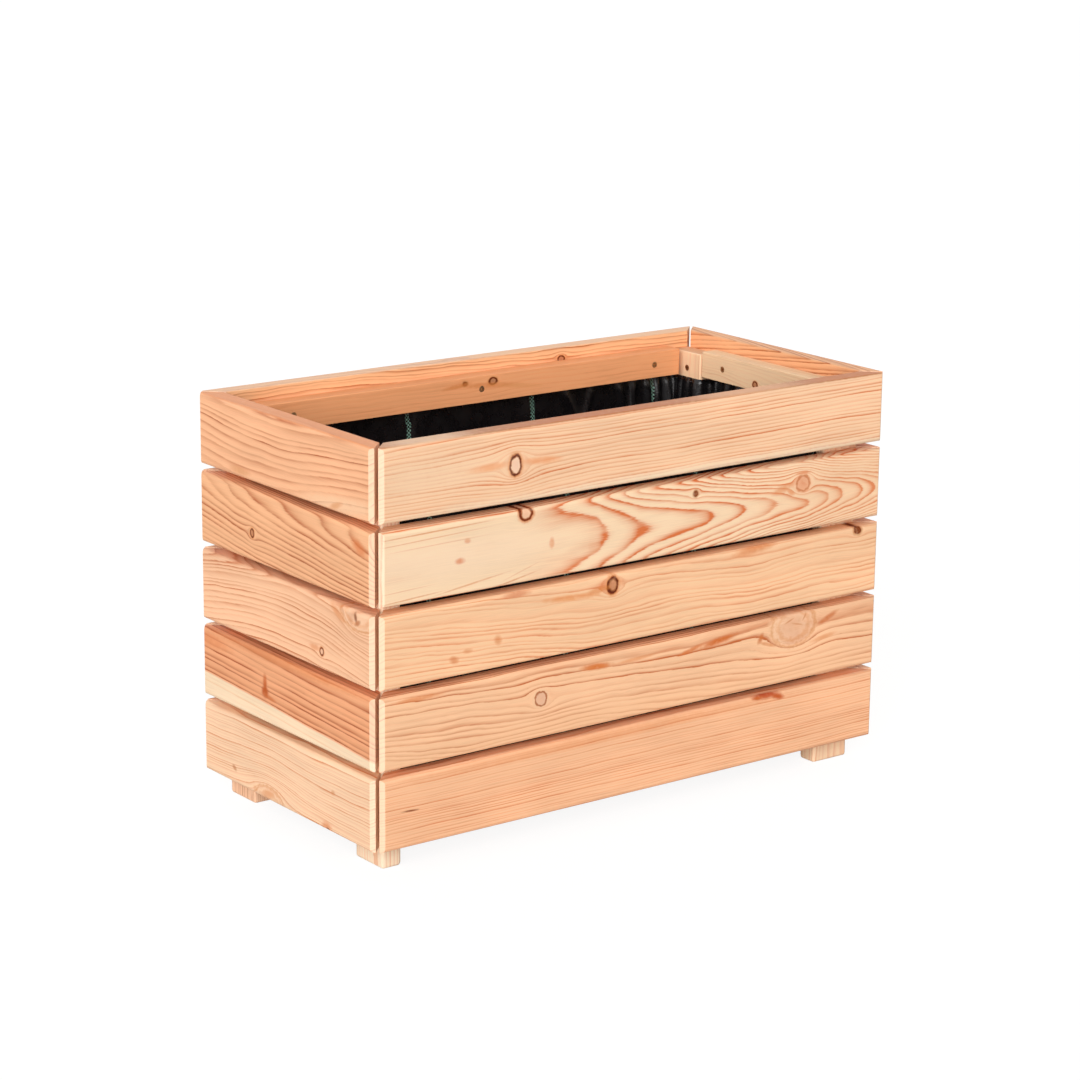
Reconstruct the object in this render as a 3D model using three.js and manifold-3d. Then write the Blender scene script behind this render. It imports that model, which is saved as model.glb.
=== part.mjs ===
// A wooden planter box. Five rows of mitred boards are screwed from inside to four corner posts,
// whose lower ends are the feet. Slats on two battens make the floor, and a woven liner hangs
// inside, gripped behind four upper battens.
// The origin is on the ground below the middle of the box, +X runs along the long sides, the front
// is at -Y and +Z is up. All sizes are in millimetres.

import * as THREE from "three";
import { mergeVertices } from "three/addons/utils/BufferGeometryUtils.js";
import loadManifold from "manifold-3d";

const manifold = await loadManifold();
manifold.setup();

// The box
const LENGTH = 800;
const WIDTH = 400;
const ROWS = 5;
const BOARD_GAP = 10;
const FOOT_HEIGHT = 32;

// Side boards
const BOARD_THICKNESS = 27;
const BOARD_HEIGHT = 90;
const ARRIS_RADIUS = 5;
const ARRIS_STEPS = 2;
const BACK_CHAMFER = 1.5;
const CORNER_SLOT = 4.4;
const MITRE_TIP = 5.1;

// Corner posts
const POST_THICKNESS = 27;
const POST_WIDTH = 58;
const POST_BELOW_RIM = 22;
const POST_SIDE_CHAMFER = 3;
const POST_END_CHAMFER = 4;

// Upper battens
const BATTEN_THICKNESS = 27;
const BATTEN_HEIGHT = 36;
const BATTEN_BELOW_RIM = 17;
const BATTEN_CHAMFER = 2;
const LONG_BATTEN_END_GAP = 12;
const SHORT_BATTEN_END_GAP = 3;

// Floor
const FLOOR_BATTEN_THICKNESS = 27;
const FLOOR_BATTEN_HEIGHT = 36;
const FLOOR_BATTEN_RISE = 6;
const FLOOR_BATTEN_END_GAP = 2;
const SLAT_COUNT = 6;
const SLAT_WIDTH = 110;
const SLAT_THICKNESS = 20;
const SLAT_CHAMFER = 1.5;
const SLAT_SIDE_GAP = 3;
const SLAT_NOTCH_GAP = 2;

// Liner
const LINER_THICKNESS = 1;
const LINER_BELOW_BATTEN = 4;
const LINER_GRIP = 10;
const LINER_GRIP_INSET = 6;

// Screws. Each is as long as the wood it joins, less the wood left over its tip.
const HEAD_RADIUS = 4.2;
const HEAD_RIM = 0.5;
const HEAD_HEIGHT = 3.4;
const SHANK_RADIUS = 2.1;
const TIP_LENGTH = 5;
const SCREW_SIDES = 6;
const TIP_COVER = 7;
const EDGE_SCREW_DROP = 20;
const BATTEN_SCREW_INSET = 44;
const SLAT_SCREW_INSET = 18;

// Staples
const STAPLE_WIDTH = 11;
const STAPLE_WIRE_WIDTH = 1;
const STAPLE_LEG_LENGTH = 8;
const STAPLE_SPACING = 30;
const STAPLE_BELOW_EDGE = 5;

// The clearance where one piece rests on another, and how far a cutting tool passes a surface
const SEAT_GAP = 0.3;
const CUT_OVER = 1;

// Places worked out from the sizes
const ROW_PITCH = BOARD_HEIGHT + BOARD_GAP;
const RIM_Z = FOOT_HEIGHT + ROWS * ROW_PITCH - BOARD_GAP;
const POST_LENGTH = RIM_Z - POST_BELOW_RIM;
const INNER_X = LENGTH / 2 - BOARD_THICKNESS;
const INNER_Y = WIDTH / 2 - BOARD_THICKNESS;
const SEAT = BOARD_THICKNESS + SEAT_GAP;
const BATTEN_Z = RIM_Z - BATTEN_BELOW_RIM - BATTEN_HEIGHT;
const BATTEN_SEAT = SEAT + LINER_THICKNESS + SEAT_GAP;
const FLOOR_BATTEN_Z = FOOT_HEIGHT + FLOOR_BATTEN_RISE;
const SLAT_Z = FLOOR_BATTEN_Z + FLOOR_BATTEN_HEIGHT + SEAT_GAP;
const LINER_Z = SLAT_Z + SLAT_THICKNESS + SEAT_GAP;
const LINER_TOP_Z = BATTEN_Z - LINER_BELOW_BATTEN;
const rowBottom = (row) => RIM_Z - BOARD_HEIGHT - (row - 1) * ROW_PITCH;

const X = new THREE.Vector3(1, 0, 0);
const Y = new THREE.Vector3(0, 1, 0);
const Z = new THREE.Vector3(0, 0, 1);
const MINUS_X = X.clone().negate();
const MINUS_Y = Y.clone().negate();

// Finishes

const finish = (color, roughness, metalness = 0) =>
  new THREE.MeshStandardMaterial({ color, roughness, metalness });
const larch = () => finish("#f3bd8e", 0.62);
const paleLarch = () => finish("#f6c898", 0.62);
const spruce = () => finish("#eebf95", 0.66);
const darkLarch = () => finish("#e2ab7c", 0.68);
const wovenFabric = () => finish("#141213", 0.5);
const zincSteel = () => finish("#b9a36a", 0.4, 1);

// Solids

function toSolid(geometry) {
  const bare = geometry.clone();
  bare.deleteAttribute("normal");
  bare.deleteAttribute("uv");
  const merged = mergeVertices(bare, 1e-4);
  return new manifold.Manifold(
    new manifold.Mesh({
      numProp: 3,
      vertProperties: new Float32Array(merged.attributes.position.array),
      triVerts: new Uint32Array(merged.index.array),
    }),
  );
}

function toGeometry(solid) {
  const mesh = solid.getMesh();
  const geometry = new THREE.BufferGeometry();
  geometry.setAttribute("position", new THREE.BufferAttribute(mesh.vertProperties, 3));
  geometry.setIndex(new THREE.BufferAttribute(mesh.triVerts, 1));
  geometry.computeVertexNormals();
  return geometry;
}

// An outline extruded up from Z = 0. A bevel narrows both ends and keeps the height.
function extruded(points, height, bevel = 0) {
  const shape = new THREE.Shape(points.map(([u, v]) => new THREE.Vector2(u, v)));
  return new THREE.ExtrudeGeometry(shape, {
    depth: height - 2 * bevel,
    bevelEnabled: bevel > 0,
    bevelThickness: bevel,
    bevelSize: bevel,
    bevelOffset: -bevel,
    bevelSegments: 1,
  }).translate(0, 0, bevel);
}

// A block between any two opposite corners
function block(corner, opposite) {
  const size = opposite.map((value, axis) => Math.abs(value - corner[axis]));
  const middle = opposite.map((value, axis) => (value + corner[axis]) / 2);
  return new THREE.BoxGeometry(...size).translate(...middle);
}

// A rectangle from (0, 0) whose corners are cut at 45 degrees
function easedRectangle(width, height, cut) {
  return [
    [cut, 0],
    [width - cut, 0],
    [width, cut],
    [width, height - cut],
    [width - cut, height],
    [cut, height],
    [0, height - cut],
    [0, cut],
  ];
}

// A section whose points give thickness and height, run along X and centred on it. The thickness
// grows towards +Y and the height towards +Z.
function barAlongX(section, length) {
  const turn = new THREE.Matrix4().makeBasis(Y, Z, X);
  return toSolid(extruded(section, length).translate(0, 0, -length / 2).applyMatrix4(turn));
}

// The section of a side board, with its outer face at zero thickness and rounded outer edges
function boardSection() {
  const points = [];
  const addArris = (centreHeight, firstAngle) => {
    for (let step = 0; step <= ARRIS_STEPS; step += 1) {
      const angle = firstAngle + (step / ARRIS_STEPS) * (Math.PI / 2);
      const thick = ARRIS_RADIUS + ARRIS_RADIUS * Math.cos(angle);
      points.push([thick, centreHeight + ARRIS_RADIUS * Math.sin(angle)]);
    }
  };
  addArris(BOARD_HEIGHT - ARRIS_RADIUS, Math.PI / 2);
  addArris(ARRIS_RADIUS, Math.PI);
  points.push([BOARD_THICKNESS - BACK_CHAMFER, 0]);
  points.push([BOARD_THICKNESS, BACK_CHAMFER]);
  points.push([BOARD_THICKNESS, BOARD_HEIGHT - BACK_CHAMFER]);
  points.push([BOARD_THICKNESS - BACK_CHAMFER, BOARD_HEIGHT]);
  return points;
}

// The plan of a mitred board. Its ends stop half the corner's slot short of the diagonal, and the
// sharp tips are cut off square to the mitre.
function mitredPlan(length) {
  const diagonalEnd = length / 2 - CORNER_SLOT / Math.SQRT2;
  const faceEnd = diagonalEnd - 2 * MITRE_TIP;
  const tipEnd = diagonalEnd - MITRE_TIP;
  const backEnd = diagonalEnd - BOARD_THICKNESS;
  return [
    [-faceEnd, 0],
    [faceEnd, 0],
    [tipEnd, MITRE_TIP],
    [backEnd, BOARD_THICKNESS],
    [-backEnd, BOARD_THICKNESS],
    [-tipEnd, MITRE_TIP],
  ];
}

function boardSolid(length) {
  const plan = extruded(mitredPlan(length), BOARD_HEIGHT + 2 * CUT_OVER).translate(0, 0, -CUT_OVER);
  return barAlongX(boardSection(), length).intersect(toSolid(plan));
}

// A post stands on Z = 0 with its corner at the origin, wide along X and thick along Y.
function postSolid() {
  const section = easedRectangle(POST_WIDTH, POST_THICKNESS, POST_SIDE_CHAMFER);
  return toSolid(extruded(section, POST_LENGTH, POST_END_CHAMFER));
}

function battenSolid(length, thick, high, arris) {
  return barAlongX(easedRectangle(thick, high, arris), length);
}

// The planter's pieces. Each is kept with the matrix that places it until its holes are cut.

const planter = new THREE.Group();
const groups = new Map();
const pieces = new Map();

function addPiece(group, name, solid, place, material) {
  if (!groups.has(group)) groups.set(group, new THREE.Group());
  pieces.set(name, { group, solid, place, material, cuts: [] });
}

// A frame at a point, with its X and Y along the two given axes
function frameAt(point, xAxis, yAxis) {
  const zAxis = new THREE.Vector3().crossVectors(xAxis, yAxis);
  return new THREE.Matrix4().makeBasis(xAxis, yAxis, zAxis).setPosition(...point);
}

// The four sides: the middle of the outer face, the way along it and the way inwards
const SIDES = {
  front: { length: LENGTH, middle: [0, -WIDTH / 2], along: X, inward: Y },
  back: { length: LENGTH, middle: [0, WIDTH / 2], along: MINUS_X, inward: MINUS_Y },
  left: { length: WIDTH, middle: [-LENGTH / 2, 0], along: MINUS_Y, inward: X },
  right: { length: WIDTH, middle: [LENGTH / 2, 0], along: Y, inward: MINUS_X },
};
const isLong = (side) => SIDES[side].along.y === 0;

// A point on a side: along it from its middle, inwards from its outer face, and its height
function onSide(side, along, inward, z) {
  const { middle, along: run, inward: normal } = SIDES[side];
  return [
    middle[0] + run.x * along + normal.x * inward,
    middle[1] + run.y * along + normal.y * inward,
    z,
  ];
}

const sideFrame = (side, along, inward, z) =>
  frameAt(onSide(side, along, inward, z), SIDES[side].along, SIDES[side].inward);

// Side boards, row 1 at the top

for (const side of Object.keys(SIDES)) {
  const solid = boardSolid(SIDES[side].length);
  for (let row = 1; row <= ROWS; row += 1) {
    const place = sideFrame(side, 0, 0, rowBottom(row));
    addPiece(side, `${side}_board_${row}`, solid, place, larch());
  }
}

// Corner posts. Each lies flat against one side and edge on against the other. The front right
// post is turned: it lies flat against the front, the others against the short sides.

const CORNERS = [
  { name: "front_left", x: -1, y: -1, flat: "left", edge: "front" },
  { name: "front_right", x: 1, y: -1, flat: "front", edge: "right" },
  { name: "back_right", x: 1, y: 1, flat: "right", edge: "back" },
  { name: "back_left", x: -1, y: 1, flat: "left", edge: "back" },
];

// How far a post reaches in from the boards' inner faces, along X and along Y
const postReach = (corner) => ({
  x: SEAT_GAP + (isLong(corner.flat) ? POST_WIDTH : POST_THICKNESS),
  y: SEAT_GAP + (isLong(corner.flat) ? POST_THICKNESS : POST_WIDTH),
});

for (const corner of CORNERS) {
  const reach = postReach(corner);
  const lowX = corner.x < 0 ? -INNER_X + SEAT_GAP : INNER_X - reach.x;
  const lowY = corner.y < 0 ? -INNER_Y + SEAT_GAP : INNER_Y - reach.y;
  const place = isLong(corner.flat)
    ? frameAt([lowX, lowY, 0], X, Y)
    : frameAt([lowX + POST_THICKNESS, lowY, 0], Y, MINUS_X);
  addPiece("corners", `corner_post_${corner.name}`, postSolid(), place, paleLarch());
}

// Whether a corner lies ahead of a side's middle or behind it, along that side
const signAlong = (corner, side) => {
  const { along } = SIDES[side];
  return corner.x * along.x + corner.y * along.y;
};

// The run along a side that its two posts leave free, less a gap at each end
function freeRun(side, endGap) {
  const ends = CORNERS.filter(({ flat, edge }) => flat === side || edge === side).map((corner) => {
    const reach = postReach(corner);
    const free = isLong(side) ? INNER_X - reach.x : INNER_Y - reach.y;
    return signAlong(corner, side) * (free - endGap);
  });
  const from = Math.min(...ends);
  const to = Math.max(...ends);
  return { from, to, length: to - from, middle: (from + to) / 2 };
}

// Upper battens

const battenRun = (side, inset = 0) =>
  freeRun(side, inset + (isLong(side) ? LONG_BATTEN_END_GAP : SHORT_BATTEN_END_GAP));

for (const side of Object.keys(SIDES)) {
  const { length, middle } = battenRun(side);
  const solid = battenSolid(length, BATTEN_THICKNESS, BATTEN_HEIGHT, BATTEN_CHAMFER);
  const place = sideFrame(side, middle, BATTEN_SEAT, BATTEN_Z);
  addPiece(side, `upper_batten_${side}`, solid, place, isLong(side) ? larch() : spruce());
}

// Floor: a batten low on each long side, and slats across them

const FLOOR_SIDES = ["front", "back"];

for (const side of FLOOR_SIDES) {
  const { length, middle } = freeRun(side, FLOOR_BATTEN_END_GAP);
  const solid = battenSolid(length, FLOOR_BATTEN_THICKNESS, FLOOR_BATTEN_HEIGHT, BATTEN_CHAMFER);
  const place = sideFrame(side, middle, SEAT, FLOOR_BATTEN_Z);
  addPiece("floor", `floor_batten_${side}`, solid, place, spruce());
}

const SLAT_LENGTH = 2 * (INNER_Y - SLAT_SIDE_GAP);
const SLAT_FIRST = -INNER_X + SLAT_SIDE_GAP + SLAT_WIDTH / 2;
const SLAT_PITCH = (-2 * SLAT_FIRST) / (SLAT_COUNT - 1);
const slatMiddle = (slat) => SLAT_FIRST + (slat - 1) * SLAT_PITCH;

// The corner of a slat that a post stands in, with room round the post
function postNotch(corner) {
  const reach = postReach(corner);
  const inX = corner.x * (INNER_X - reach.x - SLAT_NOTCH_GAP);
  const inY = corner.y * (INNER_Y - reach.y - SLAT_NOTCH_GAP);
  return block([inX, inY, 0], [corner.x * LENGTH, corner.y * WIDTH, POST_LENGTH]);
}

for (let slat = 1; slat <= SLAT_COUNT; slat += 1) {
  const place = frameAt([slatMiddle(slat) + SLAT_WIDTH / 2, 0, SLAT_Z], Y, MINUS_X);
  const toSlat = place.clone().invert();
  let solid = battenSolid(SLAT_LENGTH, SLAT_WIDTH, SLAT_THICKNESS, SLAT_CHAMFER);
  for (const corner of CORNERS) {
    solid = solid.subtract(toSolid(postNotch(corner).applyMatrix4(toSlat)));
  }
  addPiece("floor", `floor_slat_${slat}`, solid, place, darkLarch());
}

// Liner: a tub that follows the boards and steps round the posts, with a strip that runs up behind
// each upper batten

function linerPlan(offset) {
  return CORNERS.flatMap((corner) => {
    const reach = postReach(corner);
    const outX = corner.x * (INNER_X - offset);
    const outY = corner.y * (INNER_Y - offset);
    const inX = corner.x * (INNER_X - reach.x - offset);
    const inY = corner.y * (INNER_Y - reach.y - offset);
    const step = [[outX, inY], [inX, inY], [inX, outY]];
    return corner.x === corner.y ? step : step.reverse();
  });
}

function linerSolid() {
  const wallHigh = LINER_TOP_Z - LINER_Z;
  const outside = extruded(linerPlan(SEAT_GAP), wallHigh).translate(0, 0, LINER_Z);
  const inside = extruded(linerPlan(SEAT_GAP + LINER_THICKNESS), wallHigh);
  inside.translate(0, 0, LINER_Z + LINER_THICKNESS);
  let solid = toSolid(outside).subtract(toSolid(inside));
  for (const side of Object.keys(SIDES)) {
    const { from, to } = battenRun(side, LINER_GRIP_INSET);
    const near = onSide(side, from, SEAT, LINER_TOP_Z - LINER_THICKNESS);
    const far = onSide(side, to, SEAT + LINER_THICKNESS, BATTEN_Z + LINER_GRIP);
    solid = solid.add(toSolid(block(near, far)));
  }
  return solid;
}

addPiece("liner", "liner", linerSolid(), new THREE.Matrix4(), wovenFabric());

// Fixings. Each has a frame whose origin is at its head and whose Z points outwards, and cuts its
// hole in the pieces that it goes through. One without a name is out of sight behind the liner or
// below the floor, and only its hole is made.

function addFixing(group, name, { solid, cuts }, head, outward, through) {
  const across = outward.z === 0 ? Z : X;
  const place = frameAt(head, across, new THREE.Vector3().crossVectors(outward, across));
  if (name) addPiece(group, name, solid, place, zincSteel());
  for (const piece of through) {
    for (const cut of cuts) pieces.get(piece).cuts.push(cut.clone().applyMatrix4(place));
  }
}

const turned = (profile) =>
  new THREE.LatheGeometry(
    profile.map(([radius, height]) => new THREE.Vector2(radius, height)),
    SCREW_SIDES,
  ).rotateX(Math.PI / 2);

// A countersunk screw along -Z, with the face of its head at Z = 0
function screw(length) {
  const body = turned([
    [0, -length],
    [SHANK_RADIUS, TIP_LENGTH - length],
    [SHANK_RADIUS, -HEAD_HEIGHT],
    [HEAD_RADIUS, -HEAD_RIM],
    [HEAD_RADIUS, 0],
    [0, 0],
  ]);
  const hole = turned([
    [0, -length - SEAT_GAP],
    [SHANK_RADIUS + SEAT_GAP, -length - SEAT_GAP],
    [SHANK_RADIUS + SEAT_GAP, -HEAD_HEIGHT - SEAT_GAP],
    [HEAD_RADIUS + SEAT_GAP, -HEAD_RIM - SEAT_GAP],
    [HEAD_RADIUS + SEAT_GAP, CUT_OVER],
    [0, CUT_OVER],
  ]);
  return { solid: toSolid(body), cuts: [hole] };
}

// A staple along Y, with its legs along -Z and the underside of its crown at Z = 0
function staple() {
  const half = STAPLE_WIRE_WIDTH / 2;
  const out = STAPLE_WIDTH / 2;
  let solid = toSolid(block([-half, -out, 0], [half, out, STAPLE_WIRE_WIDTH]));
  const cuts = [];
  for (const end of [-1, 1]) {
    const legIn = out - STAPLE_WIRE_WIDTH;
    const room = half + SEAT_GAP;
    const roomIn = end * (legIn - SEAT_GAP);
    const roomOut = end * (out + SEAT_GAP);
    const leg = block([-half, end * legIn, -STAPLE_LEG_LENGTH], [half, end * out, half]);
    solid = solid.add(toSolid(leg));
    cuts.push(block([-room, roomIn, -STAPLE_LEG_LENGTH - SEAT_GAP], [room, roomOut, 0]));
  }
  return { solid, cuts };
}

// Posts to boards: in each row a short screw through the post's flat side at the board's middle
// height, and a long one through its edge, lower down so that the two pass each other
for (const corner of CORNERS) {
  const post = `corner_post_${corner.name}`;
  const flatScrew = screw(POST_THICKNESS + SEAT - TIP_COVER);
  const edgeScrew = screw(POST_WIDTH + SEAT - TIP_COVER);
  const alongSide = (side, fromBoard) =>
    signAlong(corner, side) * ((isLong(side) ? INNER_X : INNER_Y) - SEAT_GAP - fromBoard);
  for (let row = 1; row <= ROWS; row += 1) {
    const { flat, edge } = corner;
    const z = rowBottom(row) + BOARD_HEIGHT / 2;
    const flatHead = onSide(flat, alongSide(flat, POST_WIDTH / 2), SEAT + POST_THICKNESS, z);
    const edgeHead = onSide(
      edge,
      alongSide(edge, POST_THICKNESS / 2),
      SEAT + POST_WIDTH,
      z - EDGE_SCREW_DROP,
    );
    const name = row === 1 ? `post_screw_${corner.name}` : null;
    const flatWood = [post, `${flat}_board_${row}`];
    const edgeWood = [post, `${edge}_board_${row}`];
    addFixing("corners", name, flatScrew, flatHead, SIDES[flat].inward, flatWood);
    addFixing("corners", null, edgeScrew, edgeHead, SIDES[edge].inward, edgeWood);
  }
}

// Upper battens to the top boards: near both ends, and in the middle of the long ones
for (const side of Object.keys(SIDES)) {
  const { from, to, middle } = battenRun(side, BATTEN_SCREW_INSET);
  const places = isLong(side) ? [from, middle, to] : [from, to];
  places.forEach((along, index) => {
    const head = onSide(side, along, BATTEN_SEAT + BATTEN_THICKNESS, BATTEN_Z + BATTEN_HEIGHT / 2);
    const shape = screw(BATTEN_THICKNESS + BATTEN_SEAT - TIP_COVER);
    const name = `batten_screw_${side}_${index + 1}`;
    addFixing(side, name, shape, head, SIDES[side].inward, [
      `upper_batten_${side}`,
      `${side}_board_1`,
      "liner",
    ]);
  });
}

// Floor battens to the bottom boards, below every second gap between slats
for (const side of FLOOR_SIDES) {
  for (let slat = 1; slat < SLAT_COUNT; slat += 2) {
    const along = SIDES[side].along.x * (slatMiddle(slat) + SLAT_PITCH / 2);
    const depth = SEAT + FLOOR_BATTEN_THICKNESS;
    const head = onSide(side, along, depth, FLOOR_BATTEN_Z + FLOOR_BATTEN_HEIGHT / 2);
    const shape = screw(FLOOR_BATTEN_THICKNESS + SEAT - TIP_COVER);
    addFixing("floor", null, shape, head, SIDES[side].inward, [
      `floor_batten_${side}`,
      `${side}_board_${ROWS}`,
    ]);
  }
}

// Slats to the floor battens: one screw at each end of a slat, clear of the posts
for (const side of FLOOR_SIDES) {
  const { from, to } = freeRun(side, FLOOR_BATTEN_END_GAP + SLAT_SCREW_INSET);
  for (let slat = 1; slat <= SLAT_COUNT; slat += 1) {
    const along = THREE.MathUtils.clamp(SIDES[side].along.x * slatMiddle(slat), from, to);
    const head = onSide(side, along, SEAT + FLOOR_BATTEN_THICKNESS / 2, SLAT_Z + SLAT_THICKNESS);
    const shape = screw(SLAT_THICKNESS + SEAT_GAP + FLOOR_BATTEN_HEIGHT - TIP_COVER);
    addFixing("floor", null, shape, head, Z, [`floor_slat_${slat}`, `floor_batten_${side}`]);
  }
}

// Liner to the posts: two staples side by side near its upper edge on each post's flat side
for (const corner of CORNERS) {
  const reach = isLong(corner.flat) ? INNER_X : INNER_Y;
  const middle = signAlong(corner, corner.flat) * (reach - SEAT_GAP - POST_WIDTH / 2);
  [-STAPLE_SPACING / 2, STAPLE_SPACING / 2].forEach((shift, index) => {
    const depth = SEAT + POST_THICKNESS + SEAT_GAP + LINER_THICKNESS + SEAT_GAP;
    const z = LINER_TOP_Z - STAPLE_BELOW_EDGE;
    const head = onSide(corner.flat, middle + shift, depth, z);
    const name = `liner_staple_${corner.name}_${index + 1}`;
    addFixing("liner", name, staple(), head, SIDES[corner.flat].inward, [
      "liner",
      `corner_post_${corner.name}`,
    ]);
  });
}

// The finished scene graph

for (const [name, { group, solid, place, material, cuts }] of pieces) {
  const toPiece = place.clone().invert();
  const cut = cuts.map((hole) => toSolid(hole.applyMatrix4(toPiece)));
  const drilled = cut.reduce((left, hole) => left.subtract(hole), solid);
  const mesh = new THREE.Mesh(toGeometry(drilled), material);
  mesh.name = name;
  mesh.applyMatrix4(place);
  groups.get(group).add(mesh);
}
for (const group of groups.values()) planter.add(group);

export default planter;
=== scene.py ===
# %% [markdown]
# # A larch planter box
# The object is a garden planter: five rows of planed larch boards, mitred at the corners, screwed to four
# corner posts whose lower ends are its feet. Battens inside the rim hold a woven liner, and slats carry it.
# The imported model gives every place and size. It could be shown as it is, but planed wood has softly rounded
# edges and a figure of its own in each board, so the wood is made again here on the same places.

# %% Load the frame
import bpy, bmesh, math, random
from mathutils import Euler, Matrix, Vector, geometry, noise


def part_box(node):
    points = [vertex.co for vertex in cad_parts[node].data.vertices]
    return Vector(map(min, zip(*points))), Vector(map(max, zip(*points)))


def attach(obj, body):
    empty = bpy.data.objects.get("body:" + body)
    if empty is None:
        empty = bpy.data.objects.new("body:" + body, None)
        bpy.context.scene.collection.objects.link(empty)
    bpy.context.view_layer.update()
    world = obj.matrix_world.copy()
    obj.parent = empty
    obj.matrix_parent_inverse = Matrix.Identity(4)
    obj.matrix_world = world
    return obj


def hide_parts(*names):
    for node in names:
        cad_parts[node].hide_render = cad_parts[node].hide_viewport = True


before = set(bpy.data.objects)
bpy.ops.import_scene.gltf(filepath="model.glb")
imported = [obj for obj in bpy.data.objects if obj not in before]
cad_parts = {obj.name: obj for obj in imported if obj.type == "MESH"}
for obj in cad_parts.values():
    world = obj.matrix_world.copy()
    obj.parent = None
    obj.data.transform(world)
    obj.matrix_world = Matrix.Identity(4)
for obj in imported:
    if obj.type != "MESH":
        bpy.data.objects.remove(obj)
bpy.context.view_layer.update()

# %% [markdown]
# ## Colours and nodes
# Colours are picked as hex values, as in a paint program, which are sRGB. Blender's nodes want linear values,
# so one function turns them. One more function adds a node, sets what it is given and links it, because a
# material or a Geometry Nodes tree written line by line would be ten times as long.

# %% Colour and node helpers
MM = 0.001


def linear(hex_colour):
    """An sRGB hex colour as linear red, green, blue and alpha."""
    parts = [int(hex_colour[i:i + 2], 16) / 255 for i in (0, 2, 4)]
    return (*[c / 12.92 if c <= 0.04045 else ((c + 0.055) / 1.055) ** 2.4 for c in parts], 1.0)


def add(tree, kind, inputs=None, **settings):
    """A new node of that kind, with its settings, its inputs filled or linked, and a ramp's stops."""
    node = tree.nodes.new(kind)
    stops = settings.pop("stops", None)
    for name, value in settings.items():
        setattr(node, name, value)
    for key, value in (inputs or {}).items():
        socket = node.inputs[key]
        for part in value if isinstance(value, list) else [value]:
            if isinstance(part, bpy.types.Node):
                part = part.outputs[0]
            if isinstance(part, bpy.types.NodeSocket):
                tree.links.new(part, socket)
            else:
                socket.default_value = part
    if stops:
        ramp = node.color_ramp.elements
        while len(ramp) < len(stops):
            ramp.new(0.5)
        for stop, (position, colour, alpha) in zip(ramp, stops):
            stop.position, stop.color = position, (*linear(colour)[:3], alpha)
    return node


def empty_material(name):
    """A new material and its node tree, with nothing in it."""
    material = bpy.data.materials.new(name)
    material.use_nodes = True
    material.node_tree.nodes.clear()
    return material, material.node_tree


MATH, VECTOR = "ShaderNodeMath", "ShaderNodeVectorMath"
print("helpers ready; a mid grey is", [round(c, 3) for c in linear("808080")])

# %% [markdown]
# ## Camera
# The photograph is taken from the front left, a little above the rim, with a long lens, so that the sides
# hardly narrow. The place, the angles and the lens come from the lines of the boards: all rows are level and
# evenly spaced, which is enough to work out where the camera stood. The lens isn't shifted.

# %% The camera
yaw, pitch, roll = (math.radians(a) for a in (37.048, 14.524, 0.588))
forward = Vector((math.sin(yaw) * math.cos(pitch), math.cos(yaw) * math.cos(pitch), -math.sin(pitch)))
level = Vector((math.cos(yaw), -math.sin(yaw), 0))
upward = level.cross(forward)
right_hand = level * math.cos(roll) + upward * math.sin(roll)
overhead = upward * math.cos(roll) - level * math.sin(roll)
camera_data = bpy.data.cameras.new("camera")
camera_data.sensor_width, camera_data.lens, camera_data.clip_end = 36, 101.56, 200
camera = bpy.data.objects.new("camera", camera_data)
camera.matrix_world = Matrix.Translation((-2.2855, -3.0119, 1.2940)) @ Matrix(
    (right_hand, overhead, -forward)).transposed().to_4x4()
bpy.context.collection.objects.link(camera)
bpy.context.scene.camera = camera
bpy.context.scene.view_settings.view_transform = "Standard"
print("camera at", [round(v, 3) for v in camera.location], "lens", camera_data.lens)

# %% [markdown]
# ## Studio
# The photograph shows the planter in even, soft light on pure white. A plain pale floor and a white world do
# that: what the camera sees of them is white, while the light that they give stays at a plain level. Two
# wide suns, one from the camera's side and a weaker one from behind, give the faces their different tones.

# %% Floor, world and lamps
floor_mesh = bpy.data.meshes.new("studio_floor")
floor_mesh.from_pydata([(-30, -30, 0), (30, -30, 0), (30, 30, 0), (-30, 30, 0)], [], [(0, 1, 2, 3)])
studio_floor = bpy.data.objects.new("studio_floor", floor_mesh)
bpy.context.collection.objects.link(studio_floor)


def seen_directly(tree):
    """1 for what the camera, a mirror or a pane of glass shows, 0 for what only gives light."""
    path = add(tree, "ShaderNodeLightPath")
    mirror = add(tree, MATH, {0: path.outputs["Is Camera Ray"], 1: path.outputs["Is Glossy Ray"]}, operation="MAXIMUM")
    return add(tree, MATH, {0: mirror, 1: path.outputs["Is Transmission Ray"]}, operation="MAXIMUM")


floor_paint, tree = empty_material("matt_white_studio_floor")
matt = add(tree, "ShaderNodeBsdfDiffuse", {"Color": linear("C2C0BD")})
glow = add(tree, "ShaderNodeEmission", {"Color": (1, 1, 1, 1), "Strength": 1.37})
share = add(tree, MATH, {0: seen_directly(tree), 1: 0.65}, operation="MULTIPLY")
add(tree, "ShaderNodeOutputMaterial", {"Surface": add(tree, "ShaderNodeMixShader", {0: share, 1: matt, 2: glow})})
floor_mesh.materials.append(floor_paint)

world = bpy.data.worlds.new("white_studio")
bpy.context.scene.world = world
world.use_nodes = True
tree = world.node_tree
tree.nodes.clear()
fill = add(tree, "ShaderNodeBackground", {"Color": (1, 1, 1, 1), "Strength": 0.30})
white = add(tree, "ShaderNodeBackground", {"Color": (1, 1, 1, 1), "Strength": 1.0})
seen = add(tree, "ShaderNodeMixShader", {0: seen_directly(tree), 1: fill, 2: white})
add(tree, "ShaderNodeOutputWorld", {"Surface": seen})

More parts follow.
